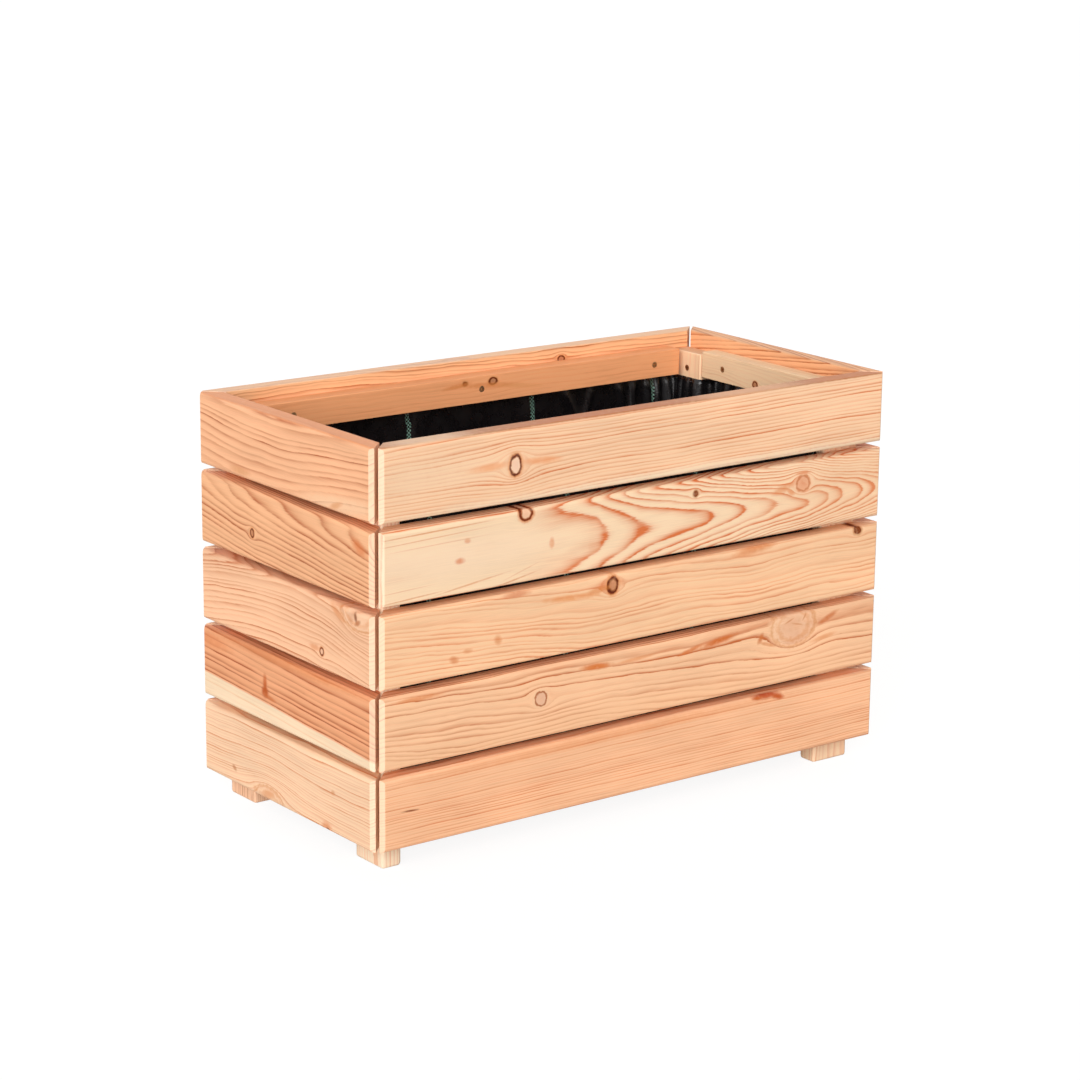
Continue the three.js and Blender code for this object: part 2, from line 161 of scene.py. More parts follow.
for name, energy, angle, azimuth, elevation in (("key", 2.96, 45, -136, 20), ("back", 0.95, 60, 60, 25)):
    lamp = bpy.data.lights.new(name, "SUN")
    lamp.energy, lamp.angle = energy, math.radians(angle)
    sun = bpy.data.objects.new(name, lamp)
    a, e = math.radians(azimuth), math.radians(elevation)
    towards = Vector((math.cos(a) * math.cos(e), math.sin(a) * math.cos(e), math.sin(e)))
    sun.rotation_euler = towards.to_track_quat("Z", "Y").to_euler()
    bpy.context.collection.objects.link(sun)
print("studio: floor, white world and", len(bpy.data.lights), "suns")

# %% [markdown]
# ## Larch
# Larch is a conifer with strong growth rings: within a ring the wood darkens slowly from pale straw to
# orange brown and ends in a sharp edge. A board is a flat cut through those rings. An image could be laid on
# it, but then the figure would not agree from face to face. Here the tree itself is the pattern: the ring
# number at a point is its distance from the pith, a line that runs beside or behind the board, leans and
# bends. A board cut near the middle shows arches, one cut at the side shows straight lines. An arch has its
# tip where the pith's depth passes a whole ring, so a list of depths along the board puts the tips where
# they lie on the real one, and an oval stem makes them blunt or pointed. Knots push the lines apart, as
# water flows round a stone, and are drawn in as branches. All lengths are millimetres.

# %% Where a board lies in the tree
BOARD_END, DEEPEST = 400.0, 150.0  # half the longest board, and more than the deepest pith, in millimetres


def grain_frame(tree, along, up, middle):
    """Points as millimetres along the board, up its face, and out of it, from the middle of its face."""
    axes = Matrix((along, up, Vector(along).cross(up)))
    place = axes @ Vector(middle)
    coordinates = add(tree, "ShaderNodeTexCoord")
    points = add(tree, "ShaderNodeMapping", {
        "Vector": coordinates.outputs["Object"], "Location": place * -1000,
        "Rotation": axes.to_euler(), "Scale": (1000, 1000, 1000)})
    outwards = add(tree, VECTOR, {0: coordinates.outputs["Normal"], 1: along}, operation="DOT_PRODUCT")
    return points, add(tree, MATH, {0: outwards.outputs["Value"]}, operation="ABSOLUTE")


def flow_round(tree, points, bent, knots):
    """The grain lines led round each knot: they are pushed aside near it and close up again behind it."""
    for along, up, length, height, kind in knots:
        reach = 1.1 * height
        offset = add(tree, VECTOR, {0: points, 1: (0.7, 1, 0), 2: (-0.7 * along, -up, 0)}, operation="MULTIPLY_ADD")
        away = add(tree, VECTOR, {0: offset}, operation="LENGTH").outputs["Value"]
        away = add(tree, MATH, {0: away, 1: reach}, operation="MAXIMUM")
        near = add(tree, MATH, {0: reach, 1: away}, operation="DIVIDE")
        near = add(tree, MATH, {0: near, 1: 2.0}, operation="POWER")
        push = add(tree, VECTOR, {0: offset, "Scale": near}, operation="SCALE")
        bent = add(tree, VECTOR, {0: push, 1: (0, -1, 0), 2: bent}, operation="MULTIPLY_ADD")
    return bent


def ring_number(tree, bent, pith, lean, sweep, ring, depths, uneven, flat):
    """How many growth rings lie between each point and the pith, which leans and bends along the board.

    depths are places along the board and how deep the pith lies there. flat makes the rings oval: it gives two
    places along the board and how much closer the rings lie there across the board than into it.
    """
    along = add(tree, VECTOR, {0: bent, 1: (1, 0, 0)}, operation="DOT_PRODUCT").outputs["Value"]
    squared = add(tree, MATH, {0: along, 1: along}, operation="MULTIPLY")
    bow = add(tree, VECTOR, {0: (0, sweep[0], sweep[1]), "Scale": squared}, operation="SCALE")
    slope = add(tree, VECTOR, {0: (0, lean[0], lean[1]), "Scale": along}, operation="SCALE")
    axis = add(tree, VECTOR, {0: bow, 1: slope}, operation="ADD")
    if depths:
        place = add(tree, "ShaderNodeMapRange", {"Value": along, "From Min": -BOARD_END, "From Max": BOARD_END})
        deep = add(tree, "ShaderNodeValToRGB", {0: place.outputs["Result"]},
                   stops=[((a + BOARD_END) / (2 * BOARD_END), "000000", d / DEEPEST) for a, d in depths])
        deep.color_ramp.interpolation = "CARDINAL"
        down = add(tree, VECTOR, {0: (0, 0, -DEEPEST), "Scale": deep.outputs["Alpha"]}, operation="SCALE")
        axis = add(tree, VECTOR, {0: axis, 1: down}, operation="ADD")
    axis = add(tree, VECTOR, {0: axis, 1: (0, *pith)}, operation="ADD")
    beside = add(tree, VECTOR, {0: bent, 1: axis}, operation="SUBTRACT")
    start, start_share, end, end_share = (float(v) for v in flat)
    oval = add(tree, "ShaderNodeMapRange", {"Value": along, "From Min": start, "From Max": end,
                                            "To Min": start_share, "To Max": end_share})
    oval = add(tree, "ShaderNodeCombineXYZ", {"Y": oval.outputs["Result"], "Z": 1.0})
    beside = add(tree, VECTOR, {0: beside, 1: oval}, operation="MULTIPLY")
    radius = add(tree, VECTOR, {0: beside}, operation="LENGTH").outputs["Value"]
    years = add(tree, MATH, {0: radius, 1: 0.5 / ring}, operation="MULTIPLY")
    years = add(tree, "ShaderNodeTexNoise", {"W": years, "Scale": 1.0, "Detail": 1.0}, noise_dimensions="1D")
    count = add(tree, MATH, {0: radius, 1: 1 / ring}, operation="MULTIPLY")
    return add(tree, MATH, {0: years, 1: uneven, 2: count}, operation="MULTIPLY_ADD"), radius


print("grain helpers ready")

# %% [markdown]
# ## Knots and marks
# A knot is a branch cut across. A living one is pale with a thin brown ring, a dead one has a dark bark ring
# and a grey core. Drips of resin and bruises are soft spots. A few long soft bands along a board's lower or
# upper edge are a painted highlight or painted shade. The upper edge of a board may be stained, and a stain
# over the whole board is painted shade or painted light of its top face.
# Each is an ellipse on the board: the distance from its middle runs from 0 to 1 at its rim and picks the
# colour from a ramp. Slow noises make the rims uneven and let parts of them fade.

# %% Kinds of knot
KNOTS = {
    "ringed": [(0, "FACDB0", 1), (0.43, "FBD2B2", 1), (0.50, "B4683C", 1), (0.56, "5A1C06", 1), (0.65, "642208", 1),
               (0.72, "C06E3C", 0.9), (0.82, "F0A068", 0.5), (1, "F0A874", 0)],
    "dark": [(0, "C4825A", 1), (0.34, "CC8A60", 1), (0.46, "9A552C", 1), (0.54, "5C1E06", 1), (0.65, "6E2A0C", 1),
             (0.72, "C8743E", 0.9), (0.82, "EC9C62", 0.5), (1, "EC9C62", 0)],
    "grey": [(0, "ECB694", 1), (0.48, "EFBE9C", 1), (0.56, "B66E48", 1), (0.65, "BE7850", 1), (0.72, "FACBA2", 0.7),
             (1, "FACBA2", 0)],
    "rosy": [(0, "E8A47E", 1), (0.48, "EEB08A", 1), (0.57, "CC784C", 1), (0.65, "D4865A", 1), (0.76, "FFCBA4", 0.6),
             (1, "FFCBA4", 0)],
    "bark": [(0, "F2BE9C", 1), (0.36, "F6C6A2", 1), (0.46, "B0623A", 1), (0.54, "642006", 1), (0.66, "84380F", 1),
             (0.75, "D9824C", 0.8), (1, "E8965E", 0)],
    "pin": [(0, "7A3610", 1), (0.30, "8E481E", 1), (0.50, "6C2A0C", 1), (0.62, "C0743E", 0.8), (1, "E09A64", 0)],
    "eddy": [(0, "FACDA8", 0.5), (0.44, "FBD0AC", 0.6), (0.58, "EDAE80", 0.5), (0.70, "FBD0AC", 0.6),
             (0.84, "E0965F", 0.6), (0.92, "F6C49A", 0.4), (1, "FAD0AA", 0)],
}
RIM, RIM_HEIGHT = 46.0, 2.6  # the middle of an upper-edge stain or of painted top-face shade lies a millimetre above the upper edge, so it fades just below it
SKIN, THROUGH, ALL_THROUGH = 9.0, 90.0, 1000.0  # how deep into the board marks, stains and knots reach


def draw_spots(tree, points, colour, knots, marks, rim_stains_and_painted_light):
    """Draws the knots, the marks and the upper edge's stains over a colour. A few long marks along an edge are painted
    highlight or painted shade, and an upper-edge stain over the whole board is painted shade or light of the top face.
    A ramp runs past a knot's bark.
    """
    uneven = add(tree, "ShaderNodeTexNoise", {"Vector": points, "Scale": 0.16, "Detail": 3.0})
    wobble = add(tree, MATH, {0: uneven, 1: 0.34, 2: -0.17}, operation="MULTIPLY_ADD")
    elsewhere = add(tree, "ShaderNodeMapping", {"Vector": points, "Location": (40, 9, 3)})
    lost = add(tree, "ShaderNodeTexNoise", {"Vector": elsewhere, "Scale": 0.11, "Detail": 2.0})
    patchy = add(tree, "ShaderNodeMapRange", {"Value": lost, "From Min": 0.3, "From Max": 0.5, "To Min": 0.75})
    spots = [(a, u, 1.5 * l, 1.5 * h, 0.0, ALL_THROUGH, KNOTS[kind]) for a, u, l, h, kind in knots]
    spots += [(a, u, l, h, turn, SKIN, [(0, shade, strength), (0.45, shade, strength * 0.85), (1, shade, 0)])
              for a, u, l, h, turn, shade, strength in marks]
    # upper-edge stains; one over the whole board is painted shade or painted light of the top face
    spots += [(a, RIM, l, RIM_HEIGHT, 0.0, THROUGH, [(0, shade, strength), (0.55, shade, strength), (1, shade, 0)])
              for a, l, shade, strength in rim_stains_and_painted_light]
    for a, u, l, h, turn, deep, stops in spots:
        inside = add(tree, "ShaderNodeMapping", {"Vector": points, "Location": (a, u, 0), "Scale": (l, h, deep),
                                                 "Rotation": (0, 0, math.radians(turn))}, vector_type="TEXTURE")
        away = add(tree, VECTOR, {0: inside}, operation="LENGTH").outputs["Value"]
        away = add(tree, MATH, {0: away, 1: wobble}, operation="ADD")
        ramp = add(tree, "ShaderNodeValToRGB", {0: away}, stops=stops)
        shown = add(tree, MATH, {0: ramp.outputs["Alpha"], 1: patchy.outputs["Result"]}, operation="MULTIPLY")
        colour = add(tree, "ShaderNodeMix", {0: shown, 6: colour, 7: ramp.outputs["Color"]}, data_type="RGBA")
        colour = colour.outputs[2]
    return colour


print("kinds of knot:", ", ".join(KNOTS))

# %% [markdown]
# ## The planed surface
# Planing leaves larch satin smooth. The dark, hard edge of each ring stands a few hundredths of a millimetre
# proud, and fine fibres run along the board. No two years are alike, so each ring gets a strength of its
# own, and a slow noise lets whole parts of the board fade. Sawn mitres are pale, partly as fresh sawn wood and
# partly as painted light that lifts the shaded slots at the corners, while square cut ends drink light and
# look darker. The finish is bare wood: a dielectric of IOR 1.5 with a roughness of about 0.6, a little lower
# on the dense rings.

# %% Planed larch
def planed_wood(name, along, up, middle, look):
    """A conifer board's material. look holds its colours, its place in the tree, its knots and its marks."""
    pale, dark, contrast = look["pale"], look["dark"], look.get("contrast", 0.8)
    knots, marks, seed = look.get("knots", ()), look.get("marks", ()), look.get("seed", 1.0)
    material, tree = empty_material(name)
    points, endwise = grain_frame(tree, along, up, middle)

    # The stem wanders: a slow noise, long along the grain, moves the points sideways.
    slow = add(tree, "ShaderNodeMapping", {"Vector": points, "Location": (7.3 * seed, 3.1 * seed, 5.7 * seed),
                                           "Scale": look.get("slow", (0.0055, 0.016, 0.016))})
    wander = add(tree, "ShaderNodeTexNoise", {
        "Vector": slow, "Scale": 1.0, "Detail": 3.0, "Roughness": look.get("restless", 0.45)})
    wide = look.get("wander", (16, 12))
    bent = add(tree, VECTOR, {0: wander.outputs["Color"], 1: (0, *wide), 2: points}, operation="MULTIPLY_ADD")
    bent = flow_round(tree, points, bent, knots)
    count, radius = ring_number(
        tree, bent, look["pith"], look.get("lean", (0, 0)), look.get("sweep", (0, 0)), look["ring"],
        look.get("depths", ()), look.get("uneven", 1.1), look.get("flat", (-BOARD_END, 1.0, BOARD_END, 1.0)))

    # Within a ring the wood darkens slowly and ends sharply, along fibres; some years are darker than others.
    fibres = add(tree, "ShaderNodeMapping", {"Vector": points, "Scale": (0.018, 0.75, 0.75)})
    fibres = add(tree, "ShaderNodeTexNoise", {"Vector": fibres, "Scale": 1.0, "Detail": 3.0, "Roughness": 0.6})
    count = add(tree, MATH, {0: fibres, 1: 0.3, 2: count}, operation="MULTIPLY_ADD")
    phase = add(tree, MATH, {0: count}, operation="FRACT")
    year = add(tree, MATH, {0: count}, operation="FLOOR")
    year = add(tree, "ShaderNodeTexWhiteNoise", {"W": year}, noise_dimensions="1D")
    late = add(tree, "ShaderNodeValToRGB", {0: phase}, stops=[
        (0, "C8C8C8", 1), (0.07, "606060", 1), (0.18, "101010", 1), (0.40, "303030", 1), (0.62, "848484", 1),
        (0.80, "CCCCCC", 1), (0.93, "FFFFFF", 1), (1, "E8E8E8", 1)])
    calm = look.get("calm", 0.2)
    strong = add(tree, "ShaderNodeMapRange", {
        "Value": year.outputs["Value"], "To Min": calm * contrast, "To Max": (1.24 - calm / 2) * contrast})
    faint = add(tree, "ShaderNodeMapping", {
        "Vector": points, "Location": (0, 5 * seed, 0), "Scale": (0.009, 0.05, 0.05)})
    faint = add(tree, "ShaderNodeTexNoise", {"Vector": faint, "Scale": 1.0, "Detail": 2.0})
    steady = add(tree, "ShaderNodeMapRange", {
        "Value": faint, "From Min": 0.3, "From Max": 0.62, "To Min": 0.45, "To Max": 1.15})
    strong = add(tree, MATH, {0: strong.outputs["Result"], 1: steady.outputs["Result"]}, operation="MULTIPLY")
    ringed = add(tree, MATH, {0: late, 1: strong}, operation="MULTIPLY")
    colour = add(tree, "ShaderNodeMix", {0: ringed, 6: linear(pale), 7: linear(dark)}, data_type="RGBA").outputs[2]

    # Sapwood, the outermost rings under the bark, is paler and more yellow.
    if "sapwood" in look:
        bark_side = look["sapwood"]
        outer = add(tree, "ShaderNodeMapRange", {"Value": radius, "From Min": bark_side, "From Max": bark_side + 2.5})
        yellow = add(tree, "ShaderNodeMix", {0: ringed, 6: linear("FFE2C0"), 7: linear("F6CB9E")}, data_type="RGBA")
        colour = add(tree, "ShaderNodeMix", {0: outer.outputs["Result"], 6: colour, 7: yellow.outputs[2]},
                     data_type="RGBA").outputs[2]

    # Fibres of about 0.4 mm, drawn 0.9 mm wide so that they show, and patches a hand wide.
    fine = add(tree, "ShaderNodeMapping", {"Vector": bent, "Scale": (0.02, 1.1, 1.1)})
    fine = add(tree, "ShaderNodeTexNoise", {"Vector": fine, "Scale": 1.0, "Detail": 3.0, "Roughness": 0.6})
    patch = add(tree, "ShaderNodeMapping", {
        "Vector": points, "Location": (0, 0, 11 * seed), "Scale": (0.006, 0.022, 0.022)})
    patch = add(tree, "ShaderNodeTexNoise", {"Vector": patch, "Scale": 1.0, "Detail": 2.0})
    tone = add(tree, MATH, {0: fine, 1: 0.28, 2: 0.73}, operation="MULTIPLY_ADD")
    tone = add(tree, MATH, {0: patch, 1: 0.26, 2: tone}, operation="MULTIPLY_ADD")
    colour = add(tree, VECTOR, {0: colour, "Scale": tone}, operation="SCALE").outputs[0]
    colour = draw_spots(tree, points, colour, knots, marks, look.get("rim_stains_and_painted_light", ()))

    # The sawn mitres are pale, partly as fresh sawn wood and partly as painted light that lifts the shaded slots at the
    # corners, and the end grain of a square cut is darker.
    for start, full, most, shade in ((0.6, 0.68, 0.5, "FFE2C6"), (0.78, 0.98, 0.75, "DFA67A")):
        cut = add(tree, "ShaderNodeMapRange", {"Value": endwise, "From Min": start, "From Max": full, "To Max": most})
        colour = add(tree, "ShaderNodeMix", {0: cut.outputs["Result"], 6: colour, 7: linear(shade)}, data_type="RGBA")
        colour = colour.outputs[2]

    height = add(tree, MATH, {0: ringed, 1: 0.6}, operation="MULTIPLY")
    height = add(tree, MATH, {0: fine, 1: 0.35, 2: height}, operation="MULTIPLY_ADD")
    bump = add(tree, "ShaderNodeBump", {"Height": height, "Strength": 0.35, "Distance": 0.0004})
    rough = add(tree, "ShaderNodeMapRange", {"Value": ringed, "To Min": 0.66, "To Max": 0.54})
    shader = add(tree, "ShaderNodeBsdfPrincipled", {
        "Base Color": colour, "Roughness": rough.outputs["Result"], "IOR": 1.5, "Specular IOR Level": 0.2,
        "Normal": bump})
    add(tree, "ShaderNodeOutputMaterial", {"Surface": shader})
    return material


print("planed wood ready")

# %% [markdown]
# ## Boards, posts, battens and slats
# All twenty boards follow one rule: a bar with two edges rounded by the planer's cutter and two that are only
# broken, sawn to a mitre at both ends and clipped at the tip. So Geometry Nodes make them, from sizes that
# are named inputs: a rounded rectangle is drawn, pulled along the length, and four blocks saw off its ends.
# Posts, battens and slats are plain planed bars, with a seat drilled for every screw that is driven into
# their face. A Bevel modifier breaks their edges.

# %% Geometry Nodes: tree, object and mesh
def new_tree(name, sizes):
    """An empty tree with named inputs, a material and an output, and its input and output nodes."""
    tree = bpy.data.node_groups.new(name, "GeometryNodeTree")
    tree.interface.new_socket("Geometry", in_out="INPUT", socket_type="NodeSocketGeometry")
    for title, kind in sizes:
        tree.interface.new_socket(title, in_out="INPUT", socket_type="NodeSocket" + kind)
    tree.interface.new_socket("Material", in_out="INPUT", socket_type="NodeSocketMaterial")
    tree.interface.new_socket("Geometry", in_out="OUTPUT", socket_type="NodeSocketGeometry")
    return tree, add(tree, "NodeGroupInput"), add(tree, "NodeGroupOutput")


def finish_tree(tree, given, out, geometry):
    """Turns the result, moves it to its place, and gives it its material."""
    placed = add(tree, "GeometryNodeTransform", {
        "Geometry": geometry, "Translation": given.outputs["Place"],
        "Rotation": add(tree, "FunctionNodeEulerToRotation", {0: given.outputs["Turn"]})})
    real = add(tree, "GeometryNodeRealizeInstances", {0: placed})
    painted = add(tree, "GeometryNodeSetMaterial", {"Geometry": real, "Material": given.outputs["Material"]})
    tree.links.new(painted.outputs[0], out.inputs[0])


def grow(name, tree, material, values, bevel=None, points=None):
    """Runs a tree with these input values and keeps the result as a plain mesh, at the origin.

    bevel is the edges' width, its segments and the least angle in degrees. points are what the tree starts from.
    """
    start = bpy.data.meshes.new(name)
    if points:
        start.from_pydata(points, [], [])
    piece = bpy.data.objects.new(name, start)
    bpy.context.collection.objects.link(piece)
    step = piece.modifiers.new("shape", "NODES")
    step.node_group = tree
    sockets = {s.name: s.identifier for s in tree.interface.items_tree if s.in_out == "INPUT"}
    for title, value in values.items():
        step[sockets[title]] = value
    step[sockets["Material"]] = material
    if bevel:
        edge = piece.modifiers.new("edges", "BEVEL")
        edge.width, edge.segments = bevel[:2]
        edge.limit_method, edge.angle_limit = "ANGLE", math.radians(bevel[2])
    bpy.context.view_layer.update()
    made = bpy.data.meshes.new_from_object(piece.evaluated_get(bpy.context.evaluated_depsgraph_get()))
    piece.modifiers.clear()
    piece.data = made
    made.name = name
    for face in made.polygons:  # the planed sides and the mitres stay flat, all that is rounded is smooth
        n = [abs(v) for v in face.normal]
        face.use_smooth = max(n) < 0.9995 and abs(n[0] - n[1]) > 0.001
    return piece


SIZES = [("Length", "Float"), ("Width", "Float"), ("Thickness", "Float")]
PLACES = [("Place", "Vector"), ("Turn", "Vector")]
print("Geometry Nodes helpers ready")

# %% The mitred board
def block(tree, size, x, y, turn=0.0):
    """A box of that size, turned about the upright axis and moved to x, y."""
    return add(tree, "GeometryNodeTransform", {
        "Geometry": add(tree, "GeometryNodeMeshCube", {"Size": size}),
        "Translation": add(tree, "ShaderNodeCombineXYZ", {"X": x, "Y": y}), "Rotation": Euler((0, 0, turn))})


EDGE_SIZES = [("Arris", "Float"), ("Back Edge", "Float"), ("Tip", "Float")]
tree, given, out = new_tree("mitred board", SIZES + EDGE_SIZES + PLACES)
length, width, thick = (given.outputs[n] for n in ("Length", "Width", "Thickness"))
outline = add(tree, "GeometryNodeCurvePrimitiveQuadrilateral", {"Width": thick, "Height": width})
across = add(tree, "ShaderNodeSeparateXYZ", {0: add(tree, "GeometryNodeInputPosition")})
outer = add(tree, "FunctionNodeCompare", {0: across.outputs["X"], 1: 0.0}, operation="LESS_THAN")
radius = add(tree, "GeometryNodeSwitch", {
    "Switch": outer, "False": given.outputs["Back Edge"], "True": given.outputs["Arris"]}, input_type="FLOAT")
rounded = add(tree, "GeometryNodeFilletCurve", {"Curve": outline, "Count": 7, "Radius": radius}, mode="POLY")
half = add(tree, MATH, {0: length, 1: 0.5}, operation="MULTIPLY")
other_end = add(tree, MATH, {0: half, 1: -1.0}, operation="MULTIPLY")
rail = add(tree, "GeometryNodeCurvePrimitiveLine", {
    "Start": add(tree, "ShaderNodeCombineXYZ", {"Z": other_end}),
    "End": add(tree, "ShaderNodeCombineXYZ", {"Z": half})})
bar = add(tree, "GeometryNodeCurveToMesh", {"Curve": rail, "Profile Curve": rounded, "Fill Caps": True})
lying = Matrix(((0, 0, 1), (1, 0, 0), (0, 1, 0))).to_euler()
laid = add(tree, "GeometryNodeTransform", {"Geometry": bar, "Rotation": lying})
SAW, SAW_HEIGHT = 0.08, 0.2  # a saw block's side and height in metres, more than a board is thick and wide
REACH = SAW / math.sqrt(8)  # from a turned block's middle to the middle of the face that cuts, along x and y
centre_line = add(tree, MATH, {0: thick, 1: 0.5}, operation="MULTIPLY")
lead = add(tree, MATH, {0: given.outputs["Tip"], 1: centre_line}, operation="SUBTRACT")
mitre = add(tree, MATH, {0: half, 1: lead}, operation="ADD")
clip = add(tree, MATH, {0: half, 1: lead}, operation="SUBTRACT")
blocks = []
for side in (-1.0, 1.0):
    for x, y in ((mitre, REACH), (clip, -REACH)):
        x = add(tree, MATH, {0: x, 1: REACH}, operation="ADD")
        x = add(tree, MATH, {0: x, 1: side}, operation="MULTIPLY")
        blocks.append(block(tree, (SAW, SAW, SAW_HEIGHT), x, y, math.pi / 4))
sawn = add(tree, "GeometryNodeMeshBoolean", {"Mesh 1": laid, "Mesh 2": blocks}, operation="DIFFERENCE", solver="EXACT")
finish_tree(tree, given, out, sawn.outputs["Mesh"])
mitred_board = tree
print("tree:", tree.name, len(tree.nodes), "nodes")

# %% The planed bar with its screw seats
SEATS = [("Screws", "Int"), ("First Screw", "Float"), ("Screw Pitch", "Float"), ("Seat Radius", "Float")]
tree, given, out = new_tree("planed bar", SIZES + SEATS + PLACES)
length, width, thick = (given.outputs[n] for n in ("Length", "Width", "Thickness"))
size = add(tree, "ShaderNodeCombineXYZ", {"X": length, "Y": thick, "Z": width})
bar = add(tree, "GeometryNodeMeshCube", {"Size": size})
face_y = add(tree, MATH, {0: thick, 1: -0.5}, operation="MULTIPLY")
row = add(tree, "GeometryNodeMeshLine", {
    "Count": given.outputs["Screws"],
    "Start Location": add(tree, "ShaderNodeCombineXYZ", {"X": given.outputs["First Screw"], "Y": face_y}),
    "Offset": add(tree, "ShaderNodeCombineXYZ", {"X": given.outputs["Screw Pitch"]})})
seat_top = add(tree, MATH, {0: given.outputs["Seat Radius"], 1: 1.15}, operation="MULTIPLY")
seat_low = add(tree, MATH, {0: given.outputs["Seat Radius"], 1: 0.45}, operation="MULTIPLY")
seat = add(tree, "GeometryNodeMeshCone", {
    "Vertices": 24, "Radius Bottom": seat_top, "Radius Top": seat_low, "Depth": 5.0 * MM})
seat = add(tree, "GeometryNodeTransform", {
    "Geometry": seat.outputs["Mesh"], "Translation": (0, -0.5 * MM, 0), "Rotation": Euler((-math.pi / 2, 0, 0))})
seats = add(tree, "GeometryNodeInstanceOnPoints", {"Points": row, "Instance": seat})
seats = add(tree, "GeometryNodeRealizeInstances", {0: seats})
drilled = add(tree, "GeometryNodeMeshBoolean", {"Mesh 1": bar, "Mesh 2": [seats]},
              operation="DIFFERENCE", solver="EXACT")
finish_tree(tree, given, out, drilled.outputs["Mesh"])
planed_bar = tree
print("tree:", tree.name, len(tree.nodes), "nodes")

# %% [markdown]
# ## Each board's look
# The boards that face the camera follow the photograph: where their arches and knots lie and how strong
# their lines are. A place on a board is given as millimetres along it and up from its middle, seen from
# outside. The tree of a board is given by pith, where the middle of the stem lies, up and out from the face,
# by how it leans and bends, and by ring, a ring's width. wander, restless and uneven disturb the lines,
# contrast is their strength, and calm is what the faintest year keeps of it. A knot has a place, two half
# widths and a kind, a mark also a turn in degrees, a colour and a strength. A few long marks along an edge are
# a painted highlight or painted shade. The rim list gives stains of the upper edge, and one over the whole
# board is painted shade or painted light of its top face. The other boards are sawn from the same tree at
# places drawn with a fixed seed.

